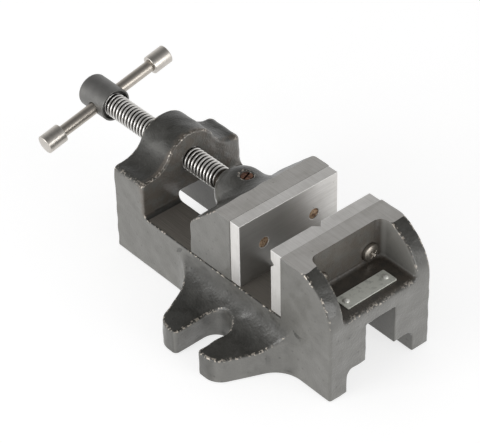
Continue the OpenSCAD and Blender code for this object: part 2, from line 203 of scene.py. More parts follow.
def ticks(low: float, high: float, coarse: float, *zones: Triple) -> np.ndarray:
    """Grid planes from low to high, closer together where a zone asks for it.

    Args:
        low: First plane.
        high: Last plane.
        coarse: Spacing outside the zones.
        zones: Centre, half width and spacing of each closer stretch.

    Returns:
        The planes, in millimetres.
    """
    at, planes = low, [low]
    while at < high:
        step = coarse
        for centre, half, fine in zones:
            gap = abs(at - centre) - half
            if gap <= 0:
                step = min(step, fine)
            elif at < centre:
                step = min(step, max(gap, fine))
        at += step
        planes.append(at)
    return np.array(planes, np.float32)


def slope(shape: Shape, at: np.ndarray, step: float) -> np.ndarray:
    """The gradient of a solid's distance at points, by central differences."""
    out = np.empty_like(at)
    for axis in range(3):
        ahead, behind = at.copy(), at.copy()
        ahead[:, axis] += step
        behind[:, axis] -= step
        out[:, axis] = (shape(tuple(ahead.T)) - shape(tuple(behind.T))) / (2 * step)
    return out


def bend(shape: Shape, at: np.ndarray, step: float) -> np.ndarray:
    """How sharply a surface bends at points, per millimetre: above 0 on outer edges and below 0 in hollows."""
    at = at.astype(float)
    total = -6 * shape(tuple(at.T))
    for axis in range(3):
        for way in (-step, step):
            near = at.copy()
            near[:, axis] += way
            total = total + shape(tuple(near.T))
    return np.clip(total / step**2, -2, 2).astype(np.float32)


def skin(shape: Shape, planes: Sequence[np.ndarray], step: float) -> tuple[np.ndarray, np.ndarray]:
    """Meshes a solid with one corner in every grid cell that its surface crosses.

    Args:
        shape: The solid.
        planes: Grid planes on each axis, which enclose it or are cut away later.
        step: Reach of the differences that pull the corners onto the surface.

    Returns:
        The corners in millimetres and the four-sided faces.
    """
    x, y, z = planes
    size = tuple(len(p) for p in planes)
    value = np.broadcast_to(shape((x[:, None, None], y[None, :, None], z[None, None, :])), size)
    value = np.ascontiguousarray(value, np.float32)
    inside = value < 0
    cells = tuple(n - 1 for n in size)
    total, count = np.zeros((*cells, 3)), np.zeros(cells)
    quads = []
    for axis in range(3):
        others = [i for i in range(3) if i != axis]
        first = [slice(None)] * 3
        second = [slice(None)] * 3
        first[axis], second[axis] = slice(0, -1), slice(1, None)
        a, b = inside[tuple(first)], inside[tuple(second)]
        index = np.argwhere(a != b)
        low = tuple(index.T)
        high_index = index.copy()
        high_index[:, axis] += 1
        va, vb = value[low], value[tuple(high_index.T)]
        share = va / (va - vb)
        point = np.stack([planes[i][index[:, i]] for i in range(3)], 1).astype(float)
        run = planes[axis]
        point[:, axis] += share * (run[index[:, axis] + 1] - run[index[:, axis]])
        ring = []
        for du, dv in ((0, 0), (-1, 0), (-1, -1), (0, -1)):
            cell = index.copy()
            cell[:, others[0]] += du
            cell[:, others[1]] += dv
            ring.append(cell)
        good = np.ones(len(index), bool)
        for cell in ring:
            good &= ((cell >= 0) & (cell < np.array(cells))).all(1)
        for cell in ring:
            flat = np.ravel_multi_index(tuple(cell[good].T), cells)
            for i in range(3):
                total.reshape(-1, 3)[:, i] += np.bincount(flat, point[good, i], minlength=count.size)
            count.reshape(-1)[:] += np.bincount(flat, minlength=count.size)
        flats = np.stack([np.ravel_multi_index(tuple(c[good].T), cells) for c in ring], 1)
        outward = a[low][good]
        if axis == 1:
            outward = ~outward
        flats[~outward] = flats[~outward][:, ::-1]
        quads.append(flats)
    active = np.flatnonzero(count.ravel())
    number = np.full(count.size, -1, np.int64)
    number[active] = np.arange(len(active))
    at = total.reshape(-1, 3)[active] / count.ravel()[active, None]
    for _ in range(3):
        lean = slope(shape, at, step)
        far = shape(tuple(at.T))
        push = far[:, None] * lean / np.maximum((lean**2).sum(1), 0.2)[:, None]
        at = at - np.clip(push, -0.8, 0.8)
    return at, number[np.concatenate(quads)]


@dataclass(frozen=True)
class Ground:
    """A flat that was machined off a casting: every corner past the plane goes, and the cut is capped.

    Args:
        axis: The plane's axis.
        at: Its place in millimetres.
        side: 1 where what lies above it goes, and -1 where what lies below it goes.
        beyond: Only faces past this place along X are cut.
    """

    axis: int
    at: float
    side: int
    beyond: float = -1e9


def solid_mesh(
    name: str, shape: Shape, planes: Sequence[np.ndarray], step: float, flats: Sequence[Ground] = ()
) -> bpy.types.Object:
    """Turns a solid into an object in metres, with its machined flats on material slot 1.

    Args:
        name: Name of the object.
        shape: The solid.
        planes: Grid planes on each axis.
        step: Reach of the differences behind its normals.
        flats: The machined flats.

    Returns:
        The new object.
    """
    at, quads = skin(shape, planes, step)
    mesh = bpy.data.meshes.new(name)
    mesh.from_pydata(at.tolist(), [], quads.tolist())
    if flats:
        bm = bmesh.new()
        bm.from_mesh(mesh)
        for flat in flats:
            normal = Vector([flat.side if i == flat.axis else 0 for i in range(3)])
            where = Vector([flat.at if i == flat.axis else 0 for i in range(3)])
            faces = [f for f in bm.faces if f.calc_center_median().x > flat.beyond]
            edges = {e for f in faces for e in f.edges}
            verts = {v for f in faces for v in f.verts}
            cut = bmesh.ops.bisect_plane(
                bm, geom=[*verts, *edges, *faces], dist=1e-5, plane_co=where, plane_no=normal, clear_outer=True
            )["geom_cut"]
            rim = [e for e in cut if isinstance(e, bmesh.types.BMEdge) and e.is_boundary]
            cap = bmesh.ops.triangle_fill(bm, edges=rim, use_beauty=True, normal=normal)["geom"]
            for face in cap:
                if isinstance(face, bmesh.types.BMFace):
                    face.material_index = 1
                    if face.normal.dot(normal) < 0:
                        face.normal_flip()
        bm.to_mesh(mesh)
        bm.free()
    count = len(mesh.vertices)
    place = np.empty(count * 3, np.float32)
    mesh.vertices.foreach_get("co", place)
    place = place.reshape(-1, 3)
    lean = slope(shape, place.astype(float), step)
    lean /= np.maximum(np.linalg.norm(lean, axis=1), 1e-6)[:, None]
    corner = np.empty(len(mesh.loops), np.int64)
    mesh.loops.foreach_get("vertex_index", corner)
    starts = np.empty(len(mesh.polygons), np.int64)
    totals = np.empty(len(mesh.polygons), np.int64)
    slots = np.empty(len(mesh.polygons), np.int64)
    faces = np.empty(len(mesh.polygons) * 3, np.float32)
    mesh.polygons.foreach_get("loop_start", starts)
    mesh.polygons.foreach_get("loop_total", totals)
    mesh.polygons.foreach_get("material_index", slots)
    mesh.polygons.foreach_get("normal", faces)
    normals = lean[corner]
    flat_loops = np.repeat(slots == 1, totals)
    normals[flat_loops] = np.repeat(faces.reshape(-1, 3), totals, axis=0)[flat_loops]
    mesh.vertices.foreach_set("co", (place * MM).ravel())
    mesh.attributes.new("edge", "FLOAT", "POINT").data.foreach_set("value", bend(shape, place, 2.5 * step))
    mesh.update()
    mesh.shade_smooth()
    mesh.normals_split_custom_set(normals.tolist())
    return placed(name, mesh)


# ---------------------------------------------------------------- node trees


class Link:
    """An output of a node, which can be used in arithmetic."""

    def __init__(self, graph: "Graph", socket: bpy.types.NodeSocket) -> None:
        """Wraps one output of the graph."""
        self.graph, self.socket = graph, socket

    def _math(self, operation: str, *values: "Link | float") -> "Link":
        """A Math node of that operation over the values."""
        return self.graph.node("ShaderNodeMath", {"operation": operation}, dict(enumerate(values)))

    def __add__(self, other: "Link | float") -> "Link":
        """The sum."""
        return self._math("ADD", self, other)

    __radd__ = __add__

    def __sub__(self, other: "Link | float") -> "Link":
        """The difference."""
        return self._math("SUBTRACT", self, other)

    def __rsub__(self, other: float) -> "Link":
        """A number less this."""
        return self._math("SUBTRACT", other, self)

    def __mul__(self, other: "Link | float") -> "Link":
        """The product."""
        return self._math("MULTIPLY", self, other)

    __rmul__ = __mul__

    def __truediv__(self, other: "Link | float") -> "Link":
        """The quotient."""
        return self._math("DIVIDE", self, other)

    def __pow__(self, other: "Link | float") -> "Link":
        """The power."""
        return self._math("POWER", self, other)

    def __abs__(self) -> "Link":
        """The size without its sign."""
        return self._math("ABSOLUTE", self)

    def low(self, other: "Link | float") -> "Link":
        """The smaller of the two."""
        return self._math("MINIMUM", self, other)

    def high(self, other: "Link | float") -> "Link":
        """The larger of the two."""
        return self._math("MAXIMUM", self, other)

    def sin(self) -> "Link":
        """The sine."""
        return self._math("SINE", self)

    def cos(self) -> "Link":
        """The cosine."""
        return self._math("COSINE", self)

    def root(self) -> "Link":
        """The square root."""
        return self._math("SQRT", self)

    def part(self) -> "Link":
        """What is left above the next lower whole number."""
        return self._math("FRACT", self)

    def ramp(self, low: "Link | float", high: "Link | float", smooth: bool = True) -> "Link":
        """Rises from 0 at low to 1 at high, and stays there."""
        kind = "SMOOTHSTEP" if smooth else "LINEAR"
        return self.graph.node(
            "ShaderNodeMapRange",
            {"interpolation_type": kind, "clamp": True},
            {"Value": self, "From Min": low, "From Max": high},
        )


class Graph:
    """A node tree that is filled from Python."""

    def __init__(self, tree: bpy.types.NodeTree) -> None:
        """Empties the tree and keeps it."""
        self.tree = tree
        tree.nodes.clear()

    def node(
        self,
        kind: str,
        settings: dict[str, object] | None = None,
        values: dict[str | int, object] | None = None,
        out: str | int = 0,
    ) -> Link:
        """Adds a node.

        Args:
            kind: The node's type.
            settings: Its properties, set before its sockets.
            values: Numbers, colours, vectors or links of its inputs, by name or number.
            out: The output that is returned.

        Returns:
            That output.
        """
        made = self.tree.nodes.new(kind)
        for key, value in (settings or {}).items():
            setattr(made, key, value)
        for key, value in (values or {}).items():
            self.feed(self.socket(made, key), value)
        outputs = [s for s in made.outputs if s.enabled]
        chosen = outputs[out] if isinstance(out, int) else next(s for s in outputs if s.name == out)
        return Link(self, chosen)

    def socket(self, made: bpy.types.Node, key: str | int) -> bpy.types.NodeSocket:
        """The input of a node with that name that is in use, or that number."""
        if isinstance(key, int):
            return made.inputs[key]
        return next(s for s in made.inputs if s.name == key and s.enabled)

    def feed(self, socket: bpy.types.NodeSocket, value: object) -> None:
        """Sets or links one input, or several links of one that takes many."""
        if isinstance(value, list):
            for item in value:
                self.tree.links.new(item.socket, socket)
        elif isinstance(value, Link):
            self.tree.links.new(value.socket, socket)
        elif socket.type == "RGBA" and len(value) == 3:
            socket.default_value = (*value, 1.0)
        else:
            socket.default_value = value

    def mix(self, share: Link | float, low: object, high: object) -> Link:
        """A colour between two colours."""
        return self.node("ShaderNodeMix", {"data_type": "RGBA"}, {"Factor": share, "A": low, "B": high})

    def vector(self, operation: str, *values: object, out: str | int = 0) -> Link:
        """A Vector Math node of that operation over the values."""
        return self.node("ShaderNodeVectorMath", {"operation": operation}, dict(enumerate(values)), out)

    def split(self, vector: Link) -> tuple[Link, Link, Link]:
        """The three parts of a vector."""
        first = self.node("ShaderNodeSeparateXYZ", None, {"Vector": vector})
        return tuple(Link(self, s) for s in first.socket.node.outputs)

    def gather(self, x: object, y: object, z: object) -> Link:
        """A vector of three numbers."""
        return self.node("ShaderNodeCombineXYZ", None, {"X": x, "Y": y, "Z": z})


class Finish:
    """Base of every finish: a material whose patterns read the piece's own coordinates, in millimetres."""

    name = "finish"

    def pattern(self, g: Graph, spot: Link, facing: Link) -> dict[str, object]:
        """Gives the shader's inputs.

        Args:
            g: The material's tree.
            spot: The point on the piece, in millimetres.
            facing: The surface's normal on the piece.

        Returns:
            Inputs of the shader by name; Height, in millimetres, becomes its bump.
        """
        raise NotImplementedError

    def material(self) -> bpy.types.Material:
        """The material of this finish, made once."""
        label = self.name + "_finish"
        known = bpy.data.materials.get(label)
        if known:
            return known
        made = bpy.data.materials.new(label)
        made.use_nodes = True
        g = Graph(made.node_tree)
        coordinates = g.node("ShaderNodeTexCoord", None, None, "Object")
        spot = g.vector("SCALE", coordinates)
        g.feed(g.socket(spot.socket.node, "Scale"), 1000.0)
        facing = g.node("ShaderNodeTexCoord", None, None, "Normal")
        values = self.pattern(g, spot, facing)
        height = values.pop("Height", None)
        if height is not None:
            values["Normal"] = g.node("ShaderNodeBump", None, {"Height": height, "Distance": MM, "Strength": 1.0})
        shader = g.node("ShaderNodeBsdfPrincipled", None, values)
        end = g.tree.nodes.new("ShaderNodeOutputMaterial")
        g.tree.links.new(shader.socket, end.inputs["Surface"])
        return made


def noise(g: Graph, spot: Link, size: float, stretch: Triple = (1.0, 1.0, 1.0), detail: float = 2.0) -> Link:
    """Soft noise from 0 to 1.

    Args:
        g: The tree.
        spot: The point, in millimetres.
        size: Rough size of its features, in millimetres.
        stretch: How much longer they are along each axis.
        detail: Finer layers on top.

    Returns:
        The noise.
    """
    scaled = g.vector("MULTIPLY", spot, tuple(1 / (size * s) for s in stretch))
    values = {"Vector": scaled, "Scale": 1.0, "Detail": detail, "Roughness": 0.55}
    return g.node("ShaderNodeTexNoise", None, values)


@dataclass(frozen=True)
class CastEnamel(Finish):
    """Dark grey enamel over rough cast iron: orange peel, pits and rubbed rail tops, with painted shade on upward
    faces, in hollows, in the pocket and on the flanks by the lugs, and painted light on the pocket's side walls
    and on the boss's faces that look along X.
    """

    name: str = "cast_enamel"
    colour: Triple = (0.135, 0.132, 0.121)
    deep: Triple = (0.024, 0.023, 0.019)
    rust: Triple = (0.115, 0.09, 0.068)
    pocket_shade: Triple = (0.052, 0.044, 0.035)
    bare: Triple = (0.42, 0.38, 0.33)
    rail_z: float = 38.5
    boss_x: float = -88.5

    def pattern(self, g: Graph, spot: Link, facing: Link) -> dict[str, object]:
        """Inputs of the enamel."""
        x, y, z = g.split(spot)
        ahead, aside, up = g.split(facing)
        edge = g.node("ShaderNodeAttribute", {"attribute_name": "edge"}, None, "Fac")
        broad = noise(g, spot, 14.0, detail=3.0)
        patch = noise(g, spot, 5.0, detail=2.0)
        grain = noise(g, spot, 1.7, detail=1.5)
        fine = noise(g, spot, 0.6, detail=1.0)
        pits = g.node("ShaderNodeTexVoronoi", None, {"Vector": spot, "Scale": 0.16, "Randomness": 1.0}, "Distance")
        pit = 1 - pits.ramp(0.05, 0.16)
        flank = abs(aside).ramp(0.8, 0.99)
        # Painted shade: faces that look upward are darkened towards the deep colour.
        top = up.ramp(0.05, 0.75)
        rail = up.ramp(0.985, 0.998) * (1 - abs(z - self.rail_z).ramp(0.3, 0.8)) * (1 - abs(y).ramp(40.0, 41.0))
        lines = noise(g, spot, 0.35, (60.0, 1.0, 1.0), 2.0)
        behind = (1 - abs(x - self.boss_x).ramp(2.0, 5.0)) * z.ramp(39.0, 41.0)
        cheek = abs(aside).ramp(0.6, 0.95)
        pocket = x.ramp(50.0, 53.0) * z.ramp(54.5, 58.0) * (1 - abs(y).ramp(29.0, 30.5))
        # Painted light: the pocket's side walls are mixed to a lighter grey below.
        lit_walls = pocket * cheek
        pocket = pocket * (1 - cheek) * (1 - (x - 79.0).ramp(0.0, 3.0) * (1 - top))
        rusty = (behind.high(pocket) * patch.ramp(0.3, 0.6)).low(1.0)
        # Painted shade: hollows and inner corners are darkened.
        hollow_shade = (edge * -1).ramp(0.03, 0.3)
        chips = edge.ramp(0.2, 0.45) * grain.ramp(0.50, 0.58) * broad.ramp(0.36, 0.5) * up.ramp(0.12, 0.35)
        # Painted shade: the lower flanks next to the lugs are darkened.
        lug_shade = flank * (1 - z.ramp(24.0, 60.0)) * (1 - abs(x).ramp(30.0, 60.0))
        shade = broad.ramp(0.3, 0.7) * 0.15 + top * 0.85 + pit * (0.4 - flank * 0.2)
        shade = shade + patch.ramp(0.5, 0.75) * 0.12
        shade = (shade + hollow_shade * 0.6 + lug_shade * 0.5).low(1.0)
        tint = g.mix(shade, self.colour, self.deep)
        # Painted light: faces by the boss that look along X are lifted back to the plain colour.
        tint = g.mix(abs(ahead).ramp(0.8, 0.97) * behind, tint, self.colour)
        tint = g.mix(rusty * (0.8 - behind * 0.3), tint, self.rust)
        # Painted shade: the pocket's floor and back are mixed towards a dark colour.
        tint = g.mix(lit_walls, g.mix(pocket * 0.8, tint, self.pocket_shade), (0.21, 0.205, 0.19))
        tint = g.mix(chips, tint, self.bare)
        rubbed = g.mix(lines.ramp(0.35, 0.75) * 0.7, (0.155, 0.142, 0.124), (0.26, 0.24, 0.213))
        calm = 1 - flank * 0.5
        rough = 0.30 + fine * 0.1 + flank * 0.08 + pit * 0.15 + top * 0.08
        bumps = grain.ramp(0.25, 0.75, False) * 0.16 + patch * 0.12 + fine * 0.04 - pit * 0.08 - chips * 0.06
        return {
            "Base Color": g.mix(rail, tint, rubbed),
            "Roughness": rough * (1 - rail) + rail * (0.40 + lines * 0.2),
            "Metallic": (rail * 0.4).high(chips * 0.7),
            "Coat Weight": (1 - rail) * (0.6 - flank * 0.35 - top * 0.4),
            "Coat Roughness": 0.12,
            "IOR": 1.5,
            "Height": bumps * calm * (1 - rail * 0.85) + rail * lines * 0.012,
        }


class Grind(Enum):
    """Which way the wheel marks run on a ground face."""

    ACROSS = (1.0, 0.0, 0.0)
    ALONG = (0.0, 1.0, 0.0)
    UPRIGHT = (0.0, 0.0, 1.0)


@dataclass(frozen=True)
class GroundSteel(Finish):
    """Surface-ground steel: fine parallel wheel marks that turn with the face, faint stains, painted highlights on
    outer edges, painted shade in hollows and a painted dark reflection on faces that look along +X.
    """

    name: str = "ground_steel"
    colour: Triple = (0.74, 0.725, 0.705)
    stain: Triple = (0.56, 0.545, 0.52)
    top: Grind = Grind.ACROSS
    face: Grind = Grind.ALONG
    end: Grind = Grind.UPRIGHT
    rough: float = 0.34

    def marks(self, g: Graph, spot: Link, way: Grind) -> Link:
        """Wheel marks that run one way."""
        stretch = tuple(1.0 + 45.0 * w for w in way.value)
        fine = noise(g, spot, 0.32, stretch, 1.0)
        broad = noise(g, spot, 1.6, stretch, 2.0)
        return fine * 0.65 + broad * 0.35

    def pattern(self, g: Graph, spot: Link, facing: Link) -> dict[str, object]:
        """Inputs of the ground steel."""
        _, y, _ = g.split(spot)
        nx, ny, nz = g.split(facing)
        flat_top, flat_end = abs(nz).ramp(0.6, 0.8), abs(ny).ramp(0.6, 0.8)
        marks = self.marks(g, spot, self.face)
        marks = marks * (1 - flat_end) + self.marks(g, spot, self.end) * flat_end
        marks = marks * (1 - flat_top) + self.marks(g, spot, self.top) * flat_top
        cloud = noise(g, spot, 9.0, (1.0, 2.0, 1.0), 4.0)
        speck = g.node("ShaderNodeTexVoronoi", None, {"Vector": spot, "Scale": 0.11}, "Distance")
        dirt = (1 - speck.ramp(0.02, 0.09)) * cloud.ramp(0.45, 0.6)
        edge = g.node("ShaderNodeAttribute", {"attribute_name": "edge"}, None, "Fac")
        shade = (cloud.ramp(0.35, 0.75) * 0.35 + marks.ramp(0.35, 0.7) * 0.45 + dirt * 0.8).low(1.0)
        # Painted reflection: faces that look along +X are darkened, most towards -Y.
        dark_reflection = nx.ramp(0.9, 0.98) * (1 - y.ramp(-12.0, 26.0))
        tint = g.mix(dark_reflection * 0.6, g.mix(shade, self.colour, self.stain), (0.15, 0.147, 0.137))
        # Painted shade: hollows are darkened.
        tint = g.mix((edge * -1).ramp(0.1, 0.8) * 0.6, tint, (0.06, 0.055, 0.05))
        # Painted highlight: outer edges are lightened in Base Color.
        return {
            "Base Color": g.mix(edge.ramp(0.4, 1.2) * 0.7, tint, (0.78, 0.77, 0.75)),
            "Metallic": 0.9,
            "Roughness": (self.rough + marks * 0.16 + cloud * 0.08 + dirt * 0.2).low(0.9),
            "Height": marks * 0.012 - dirt * 0.02,
        }


@dataclass(frozen=True)
class ThreadSteel(Finish):
    """A cut thread: crests worn bright, roots darkened with painted shade, and fine lines round the screw."""

    name: str = "thread_steel"
    axis_z: float = 64.7
    root: float = 6.25
    crest: float = 8.0

    def pattern(self, g: Graph, spot: Link, facing: Link) -> dict[str, object]:
        """Inputs of the thread's steel."""
        x, y, z = g.split(spot)
        z = z - self.axis_z
        radius = (y * y + z * z).root()
        depth = radius.ramp(self.root + 0.5, self.crest - 0.1)
        lines = noise(g, g.gather(x, radius, 0.0), 0.12, (1.0, 1.0, 1.0), 1.0)
        cloud = noise(g, spot, 5.0, (1.5, 1.0, 1.0), 3.0)
        # Crests are worn bright and smoother; the dark colour in the roots is painted shade.
        crest_wear_root_shade = (depth * (0.75 + cloud * 0.5)).low(1.0)
        return {
            "Base Color": g.mix(crest_wear_root_shade, (0.045, 0.038, 0.031), (0.78, 0.765, 0.74)),
            "Metallic": 1.0,
            "Roughness": 0.46 - crest_wear_root_shade * 0.22 + cloud * 0.08,
            "Height": lines * 0.006,
        }


@dataclass(frozen=True)
class TurnedSteel(Finish):
    """Turned bar: fine rings round its axis and a warm tone."""

    name: str = "turned_steel"
    axis: Triple = (0.0, 1.0, 0.0)
    colour: Triple = (0.50, 0.46, 0.41)
    rough: float = 0.26
    ring: float = 0.14

    def pattern(self, g: Graph, spot: Link, facing: Link) -> dict[str, object]:
        """Inputs of the turned steel."""
        along = g.vector("DOT_PRODUCT", spot, self.axis, out="Value")
        rings = noise(g, g.gather(along, 0.0, 0.0), self.ring, detail=2.0)
        bands = noise(g, g.gather(along, 0.0, 0.0), 1.6, detail=2.0)
        cloud = noise(g, spot, 4.0, detail=3.0)
        shade = rings.ramp(0.35, 0.7) * 0.3 + bands.ramp(0.4, 0.7) * 0.25 + cloud.ramp(0.4, 0.8) * 0.3
        return {
            "Base Color": g.mix(shade, self.colour, tuple(c * 0.66 for c in self.colour)),
            "Metallic": 1.0,
            "Roughness": self.rough + rings * 0.1 + cloud * 0.08,
            "Height": rings * 0.008 + bands * 0.004,
        }


@dataclass(frozen=True)
class SatinSteel(Finish):
    """Blasted steel: an even grey with a fine tooth."""

    name: str = "satin_steel"
    colour: Triple = (0.19, 0.187, 0.18)
    rough: float = 0.40

    def pattern(self, g: Graph, spot: Link, facing: Link) -> dict[str, object]:
        """Inputs of the blasted steel."""
        tooth = noise(g, spot, 0.28, detail=2.0)
        cloud = noise(g, spot, 6.0, detail=3.0)
        shade = cloud.ramp(0.35, 0.7) * 0.4 + tooth.ramp(0.4, 0.7) * 0.2
        return {
            "Base Color": g.mix(shade, self.colour, tuple(c * 0.7 for c in self.colour)),
            "Metallic": 0.9,
            "Roughness": self.rough + tooth * 0.12,
            "Height": tooth * 0.02,
        }


@dataclass(frozen=True)
class AgedCopper(Finish):
    """Copper-coloured screw ends, darker where they were not rubbed."""

    name: str = "aged_copper"
    colour: Triple = (0.56, 0.40, 0.26)
    dark: Triple = (0.20, 0.12, 0.08)

    def pattern(self, g: Graph, spot: Link, facing: Link) -> dict[str, object]:
        """Inputs of the copper."""
        cloud = noise(g, spot, 1.6, detail=3.0)
        tooth = noise(g, spot, 0.3, detail=1.0)
        return {
            "Base Color": g.mix(cloud.ramp(0.38, 0.66), self.colour, self.dark),
            "Metallic": 1.0,
            "Roughness": 0.3 + cloud * 0.2,
            "Height": tooth * 0.02,
        }


@dataclass(frozen=True)
class SheetAluminium(Finish):
    """Rolled aluminium of the blank name plate and its rivets, with fine scratches along its length."""

    name: str = "sheet_aluminium"
    colour: Triple = (0.70, 0.71, 0.65)
    rough: float = 0.42

    def pattern(self, g: Graph, spot: Link, facing: Link) -> dict[str, object]:
        """Inputs of the aluminium."""
        lines = noise(g, spot, 0.2, (1.0, 30.0, 1.0), 2.0)
        cloud = noise(g, spot, 3.5, detail=4.0)
        stain = cloud.ramp(0.5, 0.72) * 0.7
        return {
            "Base Color": g.mix(stain, self.colour, tuple(c * 0.55 for c in self.colour)),
            "Metallic": 0.35,
            "Roughness": self.rough + lines * 0.12 + stain * 0.12,
            "Height": lines * 0.008,
        }


@dataclass(frozen=True)
class PaleFloor(Finish):
    """The plain floor of a light table, which glows a little."""

    name: str = "pale_floor"

    def pattern(self, g: Graph, spot: Link, facing: Link) -> dict[str, object]:
        """Inputs of the floor."""
        cloud = noise(g, spot, 220.0, detail=1.0)
        return {
            "Base Color": g.mix(cloud, (0.42, 0.42, 0.42), (0.44, 0.44, 0.44)),
            "Roughness": 0.8,
            "Emission Color": (1.0, 1.0, 1.0),
            "Emission Strength": 0.72,
        }


GROUND_CASTING = GroundSteel("ground_casting", (0.56, 0.545, 0.525), (0.40, 0.385, 0.36), rough=0.4)
OILED_STEEL = SatinSteel("oiled_steel", (0.16, 0.155, 0.15), 0.38)
GRIMY_STEEL = SatinSteel("grimy_steel", (0.40, 0.365, 0.32), 0.26)
PIN_STEEL = SatinSteel("pin_steel", (0.4, 0.39, 0.37), 0.35)
DARK_COPPER = AgedCopper("dark_copper", (0.20, 0.105, 0.07), (0.05, 0.028, 0.024))
RIVET_DOME = SheetAluminium("rivet_dome", (0.62, 0.62, 0.58), 0.3)


# ---------------------------------------------------------------- the record's places


@dataclass(frozen=True)
class Layout:
    """Places that several pieces share, in millimetres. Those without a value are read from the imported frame."""

    face: float
    fixed_back: float
    jaw_top: float
    rail: float
    half_plate: float
    slide_face: float
    slide_front: float
    screw_z: float
    bar_x: float
    tilt: float
    screw_y: float = 20.4
    screw_rise: float = 24.3
    pocket_floor: float = 56.2
    pocket_back: float = 51.5
    seat_depth: float = 0.3

    @property
    def plate_screw(self) -> Pair:
        """Where the left plate screws' axes cross the jaws, along Y and Z."""
        return self.screw_y, self.rail + self.screw_rise

    @staticmethod
    def read() -> "Layout":
        """Takes the places from the nodes' boxes and the joints."""
        fixed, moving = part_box("fixed_jaw_plate"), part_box("moving_jaw_plate")
        joints = {j["name"]: j for j in frame["joints"]}
        turn, slide = joints["screw_turn"]["pos_m"], joints["bar_slide"]["axis"]
        mm = [round(v / MM, 4) for v in (fixed[0].x, fixed[1].x, fixed[1].z, fixed[0].z, fixed[1].y)]
        return Layout(
            *mm,
            slide_face=round(moving[1].x / MM, 4),
            slide_front=round(moving[0].x / MM, 4),
            screw_z=turn[2] / MM,
            bar_x=turn[0] / MM,
            tilt=math.atan2(slide[2], slide[1]),
        )


def dress(
    piece: bpy.types.Object, body: str, slot: str, nodes: Sequence[str], *finishes: Finish
) -> bpy.types.Object:
    """Gives a piece its finishes, ties it to its body and hides the nodes that it stands for.

    Args:
        piece: The finished mesh.
        body: The body that it rides on.
        slot: The record's material slot; not used.
        nodes: The nodes that it replaces.
        finishes: Its materials in order.

    Returns:
        The piece.
    """
    for i, finish in enumerate(finishes):
        if i < len(piece.data.materials):
            piece.data.materials[i] = finish.material()
        else:
            piece.data.materials.append(finish.material())
    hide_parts(*nodes)
    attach(piece, body)
    log.info("%s: %d faces on %s", piece.name, len(piece.data.polygons), body)
    return piece


# ---------------------------------------------------------------- castings


def unevenness(amount: float, level: Shape) -> Shape:
    """The slow waviness of a sand-cast face, in millimetres, faded out by a level from 0 to 1."""
    dice = np.random.default_rng(7)
    ways = dice.normal(size=(16, 3))
    ways /= np.linalg.norm(ways, axis=1)[:, None]
    ways *= (2 * math.pi / dice.uniform(7.0, 24.0, 16))[:, None]
    starts = dice.uniform(0, 2 * math.pi, 16)

    def rule(p: Points) -> np.ndarray:
        """The distance at points."""
        wave = sum(
            np.sin(p[0] * np.float32(a) + p[1] * np.float32(b) + (p[2] * np.float32(c) + np.float32(d)))
            for (a, b, c), d in zip(ways, starts)
        )
        return amount * 0.35 * wave * level(p)

    return Shape(rule)


def lifted(shape: Shape, change: Shape) -> Shape:
    """A solid whose surface is moved out by another rule."""
    return Shape(lambda p: shape(p) - change(p))


